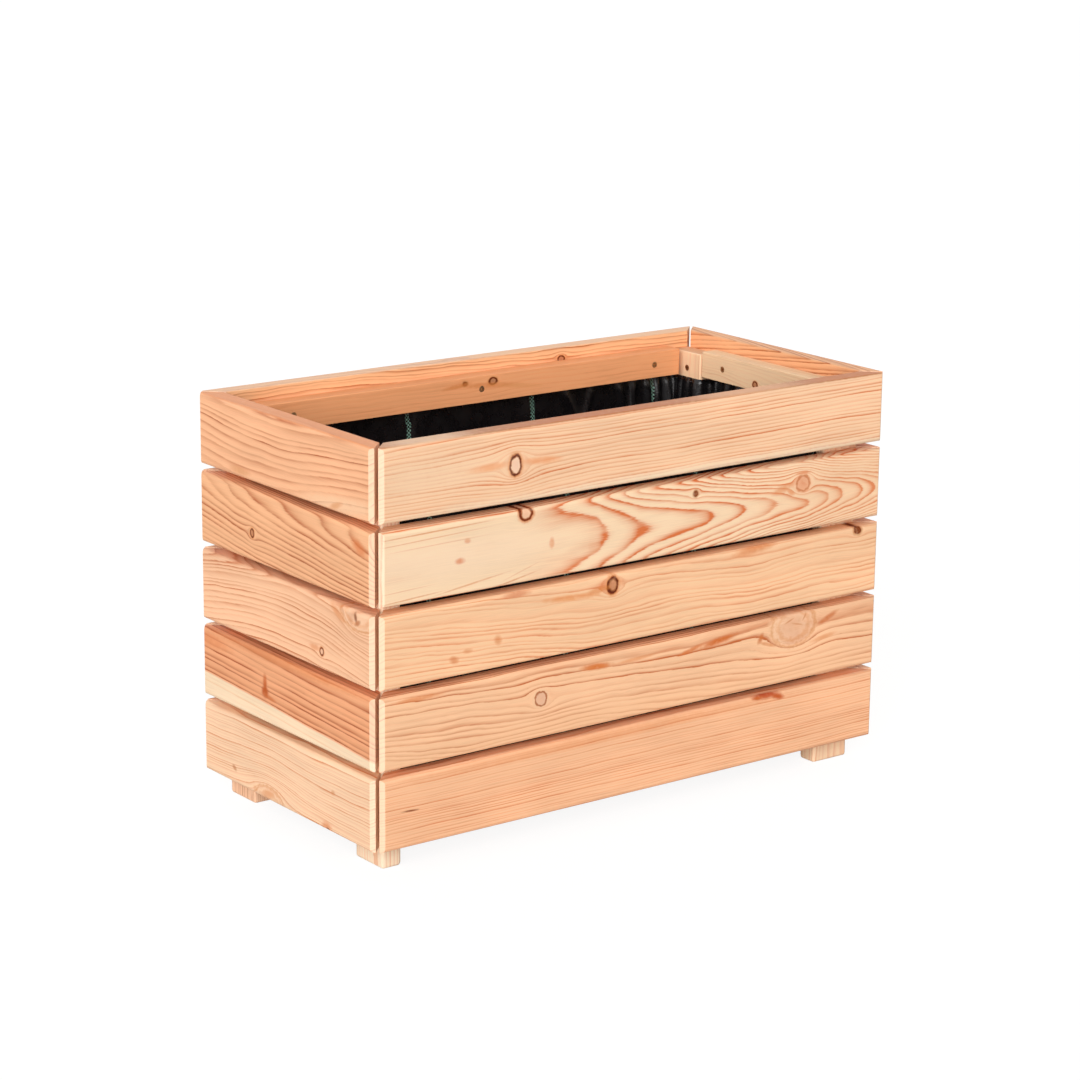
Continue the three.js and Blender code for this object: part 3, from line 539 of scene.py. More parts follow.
# %% The boards that show
FRONT_LOOKS = [
    dict(pale="FFD3AB", dark="E07F4C", contrast=1.1, ring=4.1, pith=(150, -80), lean=(0.012, 0), wander=(9, 8),
         knots=[(-200, 1, 9, 12.5, "ringed")],
         marks=[(-310, 4, 120, 34, 0, "FFDAB4", 0.55), (-238, 3, 36, 6, 2, "F19150", 0.55),
                # the last mark, a long pale band along the lower edge over the whole board, is a painted highlight
                (-160, 2, 34, 6, -3, "F19150", 0.55), (60, -45, 620, 13, 0, "FDE6C6", 0.75)],
         # the first upper-edge entry, over the whole board, is painted shade that darkens the top face; the short ones
         # vary its tone
         rim_stains_and_painted_light=[(0, 1600, "BF7D54", 0.85), (-60, 190, "CC7C4E", 0.8), (-320, 80, "FFD8B4", 0.7),
              (340, 100, "D48452", 0.8), (170, 110, "F4B88C", 0.8)]),
    dict(pale="FFDEB8", dark="DF7843", contrast=1.4, ring=6.0, pith=(3, 0), wander=(14, 4), uneven=0.3, restless=0.6,
         calm=0.45, flat=(-205, 0.1, 300, 2.6),
         depths=[(-400, 46), (-130, 46.4), (-90, 47.5), (-68, 49.5), (-13, 55.5), (97, 61.5), (152, 67.5), (205, 73.5),
                 (267, 79.5), (300, 85.5), (325, 91.5), (357, 97.5), (400, 108)],
         knots=[(-184, 40, 10, 9, "bark"), (256, 17, 12, 11, "rosy"), (78, 28, 4.5, 4.5, "pin")],
         marks=[(380, 0, 240, 80, 0, "F2AE7E", 0.3), (-290, 2, 190, 34, 0, "FFE0C0", 0.5),
                (256, 31, 16, 3, 0, "E2824B", 0.7), (236, 8, 9, 4, -30, "E88D55", 0.7),
                (-280, -4, 9, 5, 0, "DC703B", 0.7), (-145, -2, 5, 9, 0, "E28048", 0.6),
                (-269, 19, 6, 4, 0, "DC7B42", 0.6), (-320, 37, 110, 1.3, 1.2, "DE8F5C", 0.75),
                (-330, 29, 120, 1.0, 1.6, "E59C6C", 0.6), (-310, 21, 90, 0.9, 1.0, "E8A476", 0.5),
                (-352, -39, 60, 1.2, 3, "E09462", 0.7), (-262, -34, 64, 1.5, 7, "E29866", 0.7),
                (-205, -40, 50, 1.4, 10, "DE8F5C", 0.7), (-190, -30, 34, 1.1, 16, "E7A272", 0.5),
                (-360, -28, 50, 0.9, 2, "E8A476", 0.5), (222, 14, 22, 7, 12, "E28245", 0.6)]),
    dict(pale="FFCFA3", dark="E27F4C", contrast=0.85, ring=5.0, pith=(120, -95), lean=(-0.03, 0), sweep=(0.00008, 0),
         wander=(26, 10), knots=[(-51, 31, 8.5, 11, "dark"), (354, 41, 7, 6, "pin")],
         marks=[(-115, 25, 56, 5, -3, "E8904F", 0.7), (-72, 28, 22, 5, 4, "E08442", 0.7),
                (181, 43, 46, 8, 6, "DD8043", 0.75), (-224, -10, 7, 8, 30, "DE8042", 0.6),
                (-268, -16, 9, 4, 0, "DE8042", 0.5), (-288, -24, 9, 6, -20, "DC7A3D", 0.65),
                (-196, 42, 26, 4, 0, "C86131", 0.6)]),
    dict(pale="FFCCA1", dark="CB6D3B", contrast=1.15, ring=5.6, pith=(95, -70), lean=(-0.045, -0.02), wander=(22, 12),
         knots=[(-159, 5, 9.5, 10, "grey"), (247, 30, 30, 22, "eddy")],
         # the first mark, a long pale band over the lower half of the whole board, is a painted highlight
         marks=[(0, -40, 560, 26, 0, "FBC598", 0.5), (240, 37, 10, 1.6, 20, "D98C5C", 0.8),
                (254, 31, 12, 1.6, -14, "DE9466", 0.8), (266, 39, 8, 1.6, 55, "D98C5C", 0.8),
                (122, 31, 38, 6, 8, "D66F31", 1.0), (78, 27, 28, 3.5, 12, "DC793D", 0.9),
                (-74, 31, 30, 5.5, -3, "DD7B3B", 1.0), (-12, 30, 40, 3, 2, "E48B4F", 0.6),
                (-340, 38, 44, 3.5, 0, "E28548", 0.7), (192, 22, 10, 5, 60, "D3763D", 0.9),
                (204, 12, 18, 3, -18, "DA8248", 0.7), (306, 31, 24, 5, 22, "D07039", 0.85),
                (300, 6, 26, 4, 8, "E78F55", 0.6)]),
    dict(pale="FFC79C", dark="DF7C48", contrast=0.88, ring=3.4, pith=(240, -60), wander=(8, 6),
         marks=[(204, 45, 30, 8, -2, "B83C04", 1.0), (224, 39, 14, 5, -14, "C04A0C", 1.0),
                (190, 42, 12, 3, 0, "C65A1C", 0.9), (-351, 1, 15, 1.4, -3, "8A4622", 1.0),
                # the last mark, a long darker band below the upper edge over the whole board, is painted shade
                (-60, 38, 380, 9, 0, "EA9155", 0.4)]),
]
LEFT_LOOKS = [
    dict(pale="FFC296", dark="BB6235", contrast=1.15, ring=6.0, pith=(-87, 0), lean=(-0.05, 0), wander=(12, 8),
         depths=[(-200, 106), (-60, 110), (60, 100), (200, 78)],
         marks=[(130, -34, 110, 13, 5, "FFD2AA", 0.75), (118, -37, 18, 5, 20, "E39A66", 0.7),
                (-95, -36, 30, 6, 0, "DB9562", 0.6)],
         # this upper-edge entry over the whole board is painted shade that darkens the top face
         rim_stains_and_painted_light=[(0, 800, "F49C66", 0.7)]),
    dict(pale="FABE90", dark="BA6235", contrast=1.05, ring=5.0, pith=(46, 0), lean=(-0.03, 0), wander=(8, 3),
         uneven=0.4, calm=0.4, knots=[(-68, -9, 4.5, 6, "dark")],
         depths=[(-200, 64), (-122, 56.8), (-74, 51.8), (5, 46.8), (88, 41.8), (150, 36.8), (200, 32)],
         marks=[(167, 23, 22, 10, -25, "E07B42", 0.7)]),
    dict(pale="FECAA2", dark="CE7546", contrast=1.15, ring=5.4, pith=(-95, -60), lean=(0.02, 0), sweep=(-0.0005, 0),
         wander=(14, 10), knots=[(164, 43, 30, 17, "eddy"), (86, -22, 4.5, 5, "bark")],
         marks=[(120, 34, 22, 6, -30, "E18648", 0.6), (159, 37, 4, 8, 12, "8D4924", 0.9),
                (163, 31, 9, 4, 30, "BC6834", 0.8), (70, -20, 15, 5, 0, "E18550", 0.6)]),
    dict(pale="F8B284", dark="B4582C", contrast=1.1, ring=6.4, pith=(80, -50), lean=(-0.05, 0), wander=(8, 6),
         sapwood=111,
         marks=[(-43, 7, 6, 14, 0, "C65F26", 0.9), (-43, -5, 10, 10, 0, "B85219", 1.0),
                # the mark (0, 42, 220, 8), a darker band below the upper edge over the whole board, is painted shade
                (-34, -10, 20, 4, -8, "CC682E", 0.7), (0, 42, 220, 8, 0, "D67C41", 0.5),
                (-170, 30, 60, 12, 0, "DD7B42", 0.5)]),
    dict(pale="FFD7B2", dark="DE844F", contrast=0.95, ring=3.6, pith=(-190, -90), wander=(14, 12),
         knots=[(-38, -52, 30, 20, "eddy")],
         marks=[(-118, -24, 7, 4, -30, "C07340", 0.7), (-40, -38, 20, 9, 20, "E4955F", 0.6),
                (108, 7, 6, 4, 0, "D78F5A", 0.6), (94, -41, 14, 9, 0, "E28A55", 0.75),
                (96, -43, 4, 3, 0, "813F1F", 0.9)]),
]
INNER_LOOKS = {  # the two boards whose inner faces show above the battens
    ("back", 1): dict(pale="FFC694", dark="C06A34", contrast=1.1, ring=5.0, pith=(-120, -60), lean=(0.02, 0.03),
                      # its upper-edge entry over the whole board is painted light that makes the top face paler
                      wander=(26, 16), knots=[(-151, 29, 6, 5, "dark")], rim_stains_and_painted_light=[(0, 1600, "FFD2B0", 0.6)]),
    ("right", 1): dict(pale="F7B989", dark="B8622E", contrast=1.08, ring=5.5, pith=(110, -60), lean=(-0.1, 0.05),
                       wander=(12, 8), knots=()),
}


def drawn_look(chance, pale, dark, spread, rise=30, knots=2, ring=(4.0, 6.5)):
    """A look for a piece that the photograph hides, drawn from a seeded random source.

    Up to that many knots lie within spread millimetres along the piece and rise up and down from its middle.
    """
    places = [(chance.uniform(-spread, spread), chance.uniform(-rise, rise)) for _ in range(chance.randint(0, knots))]
    return dict(
        pale=pale, dark=dark, contrast=chance.uniform(0.7, 0.95), ring=chance.uniform(*ring),
        seed=chance.uniform(2, 60), pith=(chance.choice((-1, 1)) * chance.uniform(5, 150), -chance.uniform(45, 100)),
        lean=(chance.uniform(-0.04, 0.04), chance.uniform(-0.07, 0.07)), wander=(18, 12),
        knots=[(a, u, size, size * chance.uniform(0.9, 1.3), chance.choice(("dark", "grey", "ringed")))
               for a, u in places for size in (chance.uniform(4, 9),)])


print(len(FRONT_LOOKS) + len(LEFT_LOOKS), "looks follow the photograph")

# %% Make the boards
X, Y, Z = Vector((1, 0, 0)), Vector((0, 1, 0)), Vector((0, 0, 1))


def wood_piece(node, name, material_name, tree, along, outward, look, values, bevel):
    """One piece of wood in the place of its CAD node. along is its length, outward its best face."""
    low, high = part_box(node)
    middle, size = (low + high) / 2, high - low
    up = outward.cross(along)
    extent = {key: abs(size.dot(axis)) for key, axis in (("Length", along), ("Width", up), ("Thickness", outward))}
    turn = Matrix((along, -outward, up)).transposed().to_euler()
    face = middle + outward * extent["Thickness"] / 2
    material = planed_wood(material_name, along, up, face, look)
    piece = grow(name, tree, material, {**extent, **values, "Place": middle, "Turn": turn}, bevel)
    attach(piece, "root")
    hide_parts(node)
    return piece


SHADES = (("FFCCA0", "D38655"), ("FEC197", "C77B4C"), ("FFD1A8", "D78F60"), ("F8B788", "BF7343"))
EDGES = {"Arris": 5 * MM, "Back Edge": 1.5 * MM, "Tip": 5.1 * MM}
chance = random.Random(11)
boards = []
for side, along, outward in (("front", X, -Y), ("left", -Y, -X), ("back", -X, Y), ("right", Y, X)):
    for row in range(1, 6):
        pale, dark = chance.choice(SHADES)
        if side in ("front", "left"):
            look = (FRONT_LOOKS if side == "front" else LEFT_LOOKS)[row - 1]
        else:
            look = drawn_look(chance, pale, dark, 330 if side == "back" else 150)
        look.setdefault("seed", chance.uniform(2, 60))
        look.update(INNER_LOOKS.get((side, row), {}))
        boards.append(wood_piece(
            f"{side}_board_{row}", f"{side}_larch_{row}", f"planed_larch_{side}_{row}", mitred_board, along, outward,
            look, EDGES, (0.5 * MM, 2, 38)))
print(len(boards), "boards,", sum(len(b.data.polygons) for b in boards), "faces")

# %% Make the posts, battens and slats
HEAD_RADIUS, HEAD_SINK = 4.2 * MM, 0.4 * MM
bars = []


def bar_piece(node, name, kind, along, outward, look, screws, edge=2.0):
    """A planed bar with a row of screw seats on its outward face and its edges broken, in millimetres.

    screws are the number of seats, the place of the first one, from the bar's middle, and their pitch.
    """
    count, first, pitch = screws
    bars.append(wood_piece(node, name, f"{kind}_{node}", planed_bar, along, outward, look, {
        "Screws": count, "First Screw": first * MM, "Screw Pitch": pitch * MM, "Seat Radius": HEAD_RADIUS},
        (edge * MM, 3, 60)))


POST_FACES = {"front_left": X, "front_right": Y, "back_left": X, "back_right": -X}
for corner, outward in POST_FACES.items():  # a post has one screw behind each row of boards
    look = drawn_look(chance, "FFDCB8", "E8A276", 150, 15, 1, (3.4, 5))
    look["lean"], look["pith"] = (0.004, 0.004), (chance.uniform(20, 60), -chance.uniform(30, 70))
    if corner == "front_left":
        # this post's paler wood is painted light that brightens its foot in the shade of the boards
        look["pale"] = "FFE6C8"
    if corner == "back_right":
        look.update(pale="FFD8B0", contrast=0.4)
    if corner == "back_left":
        look.update(pale="FFD0AC", dark="C07A50", ring=3.0)
    bar_piece(f"corner_post_{corner}", f"{corner}_post", "planed_larch", Z, outward, look,
              (5, -173, 100), 3.5)

for side, along, outward, screws in (("front", X, Y, (3, -274.2, 274.2)), ("back", X, -Y, (3, -289.7, 289.7))):
    look = drawn_look(chance, "FFB17B", "E07C40", 250, 8, 1)
    look.update(contrast=0.42, pith=(140, -60), lean=(0.01, 0))
    if side == "back":
        look.update(knots=[(-27.5, 10, 4.5, 3.5, "pin"), (17.5, 9, 7, 5, "dark")], marks=[
            (10, 4, 60, 5, -4, "E58A4C", 0.7), (-40, 8, 30, 4, 6, "E08444", 0.7), (60, -2, 50, 4, -6, "F2A266", 0.6)])
    bar_piece(f"upper_batten_{side}", f"{side}_batten", "planed_larch", along, outward, look, screws)
for side, along, outward, screws in (("left", Y, X, (2, -67.7, 135.4)), ("right", -Y, -X, (2, -83.2, 166.4))):
    look = drawn_look(chance, "FFD8AE", "E69C68", 80, 8, 1)
    look["contrast"] = 0.45
    if side == "right":
        look["knots"] = [(-15, -9.5, 5, 5, "dark")]
    bar_piece(f"upper_batten_{side}", f"{side}_batten", "planed_spruce", along, outward, look, screws)
for side, outward in (("front", Y), ("back", -Y)):
    look = drawn_look(chance, "F9CC9F", "D19363", 250, 10)
    bar_piece(f"floor_batten_{side}", f"{side}_floor_batten", "planed_spruce", X, outward, look,
              (3, -252, 252))
for number in range(1, 7):  # slat 6 is notched at the front right post, so its screw there has no seat in the row
    look = drawn_look(chance, "F9BF92", "C77D4E", 140, 40)
    bar_piece(f"floor_slat_{number}", f"floor_slat_board_{number}", "planed_larch", Y, Z, look,
              (1, 159.2, 1) if number == 6 else (2, -159.2, 318.4), 1.5)
print(len(bars), "posts, battens and slats,", sum(len(b.data.polygons) for b in bars), "faces")

# %% [markdown]
# ## Screws
# Yellow zinc plated wood screws with a countersunk head and a six-lobed recess hold everything. There are 68
# of one kind in four lengths, so one tree builds a screw, sets it on every point given to it and aims it the
# way that its input says. Each turns a little differently, as a driver leaves it. Only the heads show, so
# the shank is plain.

# %% The screw tree
SCREW_SIZES = [("Head Radius", "Float"), ("Shank Radius", "Float"), ("Head Height", "Float"), ("Length", "Float"),
               ("Aim", "Vector"), ("Seed", "Int")]
tree, given, out = new_tree("countersunk screw", SCREW_SIZES + PLACES)
head_radius, shank_radius, head_height, length, aim, seed = given.outputs[1:7]
HEAD_RIM, POINT = 0.5 * MM, 5 * MM  # the height of the head's upright rim, and the length of the screw's point


def round_part(tree, bottom, top, depth, z):
    """An upright cone or rod whose lower end is at height z."""
    cone = add(tree, "GeometryNodeMeshCone", {
        "Vertices": 32, "Radius Bottom": bottom, "Radius Top": top, "Depth": depth})
    return add(tree, "GeometryNodeTransform", {
        "Geometry": cone.outputs["Mesh"], "Translation": add(tree, "ShaderNodeCombineXYZ", {"Z": z})})


under = add(tree, MATH, {0: head_height, 1: -1.0}, operation="MULTIPLY")
cone_depth = add(tree, MATH, {0: head_height, 1: HEAD_RIM}, operation="SUBTRACT")
point_start = add(tree, MATH, {0: POINT, 1: length}, operation="SUBTRACT")
point_end = add(tree, MATH, {0: length, 1: -1.0}, operation="MULTIPLY")
shank_length = add(tree, MATH, {0: length, 1: POINT + HEAD_RIM}, operation="SUBTRACT")
parts = [
    round_part(tree, head_radius, head_radius, HEAD_RIM, -HEAD_RIM),
    round_part(tree, shank_radius, head_radius, cone_depth, under),
    round_part(tree, shank_radius, shank_radius, shank_length, point_start),
    round_part(tree, 0.1 * MM, shank_radius, POINT, point_end),
]
body = add(tree, "GeometryNodeMeshBoolean", {"Mesh 2": parts}, operation="UNION", solver="EXACT")
lobes = add(tree, "GeometryNodeCurveStar", {"Points": 6, "Inner Radius": 1.15 * MM, "Outer Radius": 1.9 * MM})
lobes = add(tree, "GeometryNodeFilletCurve", {
    "Curve": lobes.outputs["Curve"], "Count": 2, "Radius": 0.25 * MM}, mode="POLY")
socket_rail = add(tree, "GeometryNodeCurvePrimitiveLine", {"Start": (0, 0, -2.2 * MM), "End": (0, 0, 1 * MM)})
drive = add(tree, "GeometryNodeCurveToMesh", {"Curve": socket_rail, "Profile Curve": lobes, "Fill Caps": True})
screw = add(tree, "GeometryNodeMeshBoolean", {"Mesh 1": body.outputs["Mesh"], "Mesh 2": [drive]},
            operation="DIFFERENCE", solver="EXACT")
facing = add(tree, VECTOR, {0: aim, "Scale": -1.0}, operation="SCALE")
facing = add(tree, "FunctionNodeAlignRotationToVector", {"Vector": facing}, axis="Z")
spin = add(tree, "FunctionNodeRandomValue", {
    0: (0, 0, 0), 1: (0, 0, math.tau), "Seed": seed}, data_type="FLOAT_VECTOR")
spin = add(tree, "FunctionNodeEulerToRotation", {0: spin})
facing = add(tree, "FunctionNodeRotateRotation", {"Rotation": facing, "Rotate By": spin}, rotation_space="LOCAL")
driven = add(tree, "GeometryNodeInstanceOnPoints", {
    "Points": given.outputs["Geometry"], "Instance": screw.outputs["Mesh"], "Rotation": facing})
finish_tree(tree, given, out, driven)
screw_tree = tree
print("tree:", tree.name, len(tree.nodes), "nodes")

# %% Zinc and galvanised steel
def plated_steel(name, tint, dull, rough):
    """Zinc on steel: a metal whose colour shifts a little from bath to bath, with a fine crystalline grain."""
    material, tree = empty_material(name)
    place = add(tree, "ShaderNodeTexCoord")
    bath = add(tree, "ShaderNodeTexNoise", {"Vector": place.outputs["Object"], "Scale": 420.0, "Detail": 2.0})
    grain = add(tree, "ShaderNodeTexNoise", {"Vector": place.outputs["Object"], "Scale": 2600.0, "Detail": 2.0})
    colour = add(tree, "ShaderNodeMix", {0: bath, 6: linear(tint), 7: linear(dull)}, data_type="RGBA").outputs[2]
    worn = add(tree, "ShaderNodeMapRange", {"Value": grain, "To Min": rough - 0.08, "To Max": rough + 0.12})
    bump = add(tree, "ShaderNodeBump", {"Height": grain, "Strength": 0.25, "Distance": 0.00006})
    shader = add(tree, "ShaderNodeBsdfPrincipled", {
        "Base Color": colour, "Metallic": 1.0, "Roughness": worn.outputs["Result"], "Normal": bump})
    add(tree, "ShaderNodeOutputMaterial", {"Surface": shader})
    return material


yellow_zinc = plated_steel("yellow_zinc_plated_steel", "DDB68A", "A8744C", 0.40)
galvanised = plated_steel("galvanised_steel_wire", "C6C8CA", "94979B", 0.42)
print("metals:", yellow_zinc.name, galvanised.name)

# %% Drive the screws
def drive_screws(name, heads, aim, length, seed):
    """One mesh of screws of one length and direction, their heads at these points, in metres."""
    return grow(name, screw_tree, yellow_zinc, {
        "Head Radius": HEAD_RADIUS, "Shank Radius": 2.1 * MM, "Head Height": 3.4 * MM, "Length": length * MM,
        "Aim": aim, "Seed": seed}, points=[tuple(h + aim * HEAD_SINK) for h in heads])


def join(name, pieces):
    """Several meshes as one piece."""
    mesh = bmesh.new()
    for piece in pieces:
        mesh.from_mesh(piece.data)
    first = pieces[0]
    mesh.to_mesh(first.data)
    mesh.free()
    for piece in pieces[1:]:
        bpy.data.objects.remove(piece)
    first.name = first.data.name = name
    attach(first, "root")
    return first


def head_of(node, aim):
    """Where the head of a CAD screw lies: the end of its box that its tip points away from."""
    low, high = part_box(node)
    return (low + high) / 2 - aim * abs((high - low).dot(aim)) / 2


FLAT_SCREW, EDGE_SCREW, BATTEN_SCREW, SLAT_SCREW = 47.3, 78.3, 48.6, 49.3  # lengths in millimetres
shown = []
for corner, outward in POST_FACES.items():
    heads = [head_of(f"post_screw_{corner}", -outward)]
    shown.append(drive_screws("post", heads, -outward, FLAT_SCREW, len(shown)))
post_screws = join("post_screws", shown)
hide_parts(*[f"post_screw_{corner}" for corner in POST_FACES])
shown = []
for side, aim, count in (("front", -Y, 3), ("back", Y, 3), ("left", -X, 2), ("right", X, 2)):
    nodes = [f"batten_screw_{side}_{i}" for i in range(1, count + 1)]
    shown.append(drive_screws("batten", [head_of(n, aim) for n in nodes], aim, BATTEN_SCREW, 10 + len(shown)))
batten_screws = join("batten_screws", shown)
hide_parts(*[f"batten_screw_{side}_{i}" for side in ("front", "back") for i in (1, 2, 3)],
            *[f"batten_screw_{side}_{i}" for side in ("left", "right") for i in (1, 2)])
print("shown screws:", len(post_screws.data.polygons) + len(batten_screws.data.polygons), "faces")

# %% The screws that the liner and the floor hide
ROWS = (477, 377, 277, 177, 77)  # the height of each row's middle in millimetres
POST_BACK, BATTEN_BACK = 85.3, 54.3  # a post's far edge and a batten's inner face, from the box's outer face
SLAT_TOP, SLAT_END = 94.3, 159.2  # the top of the slats, and how far from the middle their screws are driven
hidden = []
for corner, outward in POST_FACES.items():
    low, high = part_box(f"corner_post_{corner}")
    middle = (low + high) / 2
    head = middle + outward * abs((high - low).dot(outward)) / 2
    flat = [Vector((head.x, head.y, z * MM)) for z in ROWS[1:]]
    hidden.append(drive_screws("flat", flat, -outward, FLAT_SCREW, 20 + len(hidden)))
    if abs(outward.x) > 0.5:
        across, half_size = -Y if "front" in corner else Y, 0.2
    else:
        across, half_size = X if "right" in corner else -X, 0.4
    start = middle - across * middle.dot(across) + across * (half_size - POST_BACK * MM)
    edge = [Vector((start.x, start.y, (z - 20) * MM)) for z in ROWS]
    hidden.append(drive_screws("edge", edge, across, EDGE_SCREW, 20 + len(hidden)))
for outward in (Y, -Y):
    inner = -outward * (0.2 - BATTEN_BACK * MM)
    heads = [X * x * MM + inner + Z * 56 * MM for x in (-252, 0, 252)]
    hidden.append(drive_screws("floor", heads, -outward, FLAT_SCREW, 20 + len(hidden)))
slat_middles = [-315, -189, -63, 63, 189, 315]  # the last slat is notched at the front right post
tops = [Vector((min(x, 294.7) * MM, -SLAT_END * MM, SLAT_TOP * MM)) for x in slat_middles]
tops += [Vector((x * MM, SLAT_END * MM, SLAT_TOP * MM)) for x in slat_middles]
hidden.append(drive_screws("slat", tops, -Z, SLAT_SCREW, 40))
hidden_screws = join("hidden_screws", hidden)
print("hidden screws:", len(hidden_screws.data.polygons), "faces")

# %% [markdown]
# ## Liner
# The liner is ground-cover fabric: black polypropylene tapes 2.5 mm wide, woven one over one, with a green
# marker line every 200 mm for setting out plants. It is one cross-shaped cut, folded up along the walls,
# clamped behind the battens and tucked round the posts. A cloth simulation would have to pull it into four
# tight corners, so its shape is written as a rule instead: the outline in plan goes up level by level, and
# folds push it inwards, most below the battens and near the posts, where cloth is left over.

# %% The liner's outline in plan
LINER_FLOOR, LINER_EDGE, GRIP_EDGE = 95.1, 465.0, 479.0  # heights: on the slats, below and behind the battens
WALL_X, WALL_Y = 400 - 27.8, 200 - 27.8  # the cloth's middle lies 0.8 mm inside the boards, which are 27 thick
bends = [  # x, y and the radius of the bend in millimetres, going round seen from above, round the posts
    (-345.2, -WALL_Y, 12), (314.2, -WALL_Y, 12), (314.2, -145.2, 3.5), (WALL_X, -145.2, 12), (WALL_X, 114.2, 12),
    (345.2, 114.2, 3.5), (345.2, WALL_Y, 12), (-345.2, WALL_Y, 12), (-345.2, 114.2, 3.5), (-WALL_X, 114.2, 12),
    (-WALL_X, -114.2, 12), (-345.2, -114.2, 3.5)]


def bent_outline(bends, step):
    """Points on the outline at even steps, with every corner bent to its radius, and the outline's length."""
    path = []
    for i, (x, y, radius) in enumerate(bends):
        here, before, after = Vector((x, y)), Vector(bends[i - 1][:2]), Vector(bends[(i + 1) % len(bends)][:2])
        start, end = here + (before - here).normalized() * radius, here + (after - here).normalized() * radius
        path += [start.lerp(here, t / 8).lerp(here.lerp(end, t / 8), t / 8) for t in range(9)]
    path.append(path[0])
    lengths = [0.0]
    for a, b in zip(path, path[1:]):
        lengths.append(lengths[-1] + (b - a).length)
    count, points, k = round(lengths[-1] / step), [], 0
    for i in range(count):
        s = i * lengths[-1] / count
        while lengths[k + 1] < s:
            k += 1
        points.append(path[k].lerp(path[k + 1], (s - lengths[k]) / max(lengths[k + 1] - lengths[k], 1e-9)))
    return points, lengths[-1]


outline, girth = bent_outline(bends, 3.6)
count = len(outline)
inward = []
for i in range(count):
    edge = (outline[(i + 1) % count] - outline[i - 1]).normalized()
    inward.append(Vector((-edge.y, edge.x)))
print("liner outline:", count, "points,", round(girth), "mm round")

# %% Folds in the liner's walls
chance = random.Random(5)
# A fold is its place round the tub, how wide and high it is, how far it slants, and how many millimetres below
# the battens it reaches its full height.
folds = [(chance.uniform(0, girth), chance.uniform(5, 17), chance.uniform(-1.6, 3.4), chance.uniform(-0.22, 0.22), 45)
         for _ in range(46)]


def round_to(x, y):
    """How far round the tub that place is, in millimetres."""
    return min(range(count), key=lambda i: (outline[i] - Vector((x, y))).length) * girth / count


for x, y, radius in bends:
    if radius > 5:
        near = round_to(x, y)
        folds += [(near + chance.uniform(-34, 34), chance.uniform(3, 7), chance.uniform(1.5, 4.5),
                   chance.uniform(-0.12, 0.12), 30) for _ in range(4)]


def wall_push(s, z):
    """How far the cloth stands in from the wall at s round the tub and height z, in millimetres."""
    below, heel = max(0.0, LINER_EDGE + 1 - z), min(1.0, (z - LINER_FLOOR) / 30 + 0.25)
    slow, quick = noise.noise(Vector((s * 0.011, z * 0.008, 3.1))), noise.noise(Vector((s * 0.045, z * 0.02, 8.7)))
    push = max(0.0, 2.6 + 2.2 * slow + 1.3 * quick) * min(1.0, below / 45)
    for centre, wide, high, slant, ease in folds:
        off = (s - centre - slant * (z - LINER_EDGE) + girth / 2) % girth - girth / 2
        if abs(off) < 3 * wide:
            push += high * math.exp(-(off / wide) ** 2) * min(1.0, below / ease)
    return max(0.0, push) * heel


# The sheet's spare cloth is gathered on the back wall, next to the back right post.
back_right = round_to(345.2, WALL_Y)
folds += [(back_right + d, wide, high, slant, 9) for d, wide, high, slant in (
    (-124, 4.5, 6, 0.1), (-103, 4, 6, -0.1), (-71, 4, 5, 0.05), (-44, 4, 6, 0.1), (-29, 3.5, 6, -0.06),
    (-14, 3.5, 6, 0.04), (13, 4, 7, 0.05), (28, 4, 6, -0.08), (47, 4.5, 8, 0.10), (70, 4, 6, -0.05),
    (98, 4.5, 6, 0.3), (140, 3.5, 4, -0.3), (190, 4, 5, 0.5))]
print(len(folds), "folds")

# %% The liner's walls
HEEL, LEVELS = 13.0, 50  # the radius of the bend into the floor, and the number of levels above it
levels = [(LINER_FLOOR + HEEL * (1 - math.cos(a)), HEEL * (1 - math.sin(a))) for a in (0.0, 0.4, 0.8, 1.2)]
first = levels[-1][0]
levels += [(first + (LINER_EDGE - first) * i / LEVELS, 0.0) for i in range(1, LEVELS + 1)]
cloth = bmesh.new()
cut = cloth.loops.layers.uv.new("cut")
sheet_height = {}


def wall_vertex(i, z, heel=0.0):
    """A point of the wall: on the outline, pushed in by the folds, and by the bend into the floor."""
    ridge = min(1.0, min((outline[i] - Vector(b[:2])).length for b in bends if b[2] < 5) / 16 + 0.15)
    place = outline[i] + inward[i] * (wall_push(i * girth / count, z) * ridge + heel)
    vertex = cloth.verts.new((place.x * MM, place.y * MM, z * MM))
    sheet_height[vertex] = (outline[i], z - LINER_FLOOR)
    return vertex


def wall_face(vertices, i):
    """A face of the wall, and where its corners lie on the flat cut, whose x runs along the planter."""
    on_side = all(abs(abs(outline[k % count].x) - WALL_X) < 0.2 for k in (i, i + 1))
    for loop in cloth.faces.new(vertices).loops:
        p, rise = sheet_height[loop.vert]
        if on_side:
            place = (math.copysign(WALL_X + rise, p.x), p.y)
        else:
            place = (p.x + math.copysign(WALL_Y - abs(p.y), p.x), math.copysign(WALL_Y + rise, p.y))
        loop[cut].uv = (place[0] * MM, place[1] * MM)


rings = [[wall_vertex(i, z, heel) for i in range(count)] for z, heel in levels]
for low, high in zip(rings, rings[1:]):
    for i in range(count):
        wall_face((low[i], low[(i + 1) % count], high[(i + 1) % count], high[i]), i)
gripped = {i for i, p in enumerate(outline) if abs(abs(p.x) - WALL_X) < 0.2 or abs(abs(p.y) - WALL_Y) < 0.2}
gripped = {i for i in gripped if min((outline[i] - Vector(b[:2])).length for b in bends) > 14}
grip = {i: wall_vertex(i, GRIP_EDGE) for i in gripped}
for i in grip:
    j = (i + 1) % count
    if j in grip:
        wall_face((rings[-1][i], rings[-1][j], grip[j], grip[i]), i)
print("walls:", len(cloth.faces), "faces")

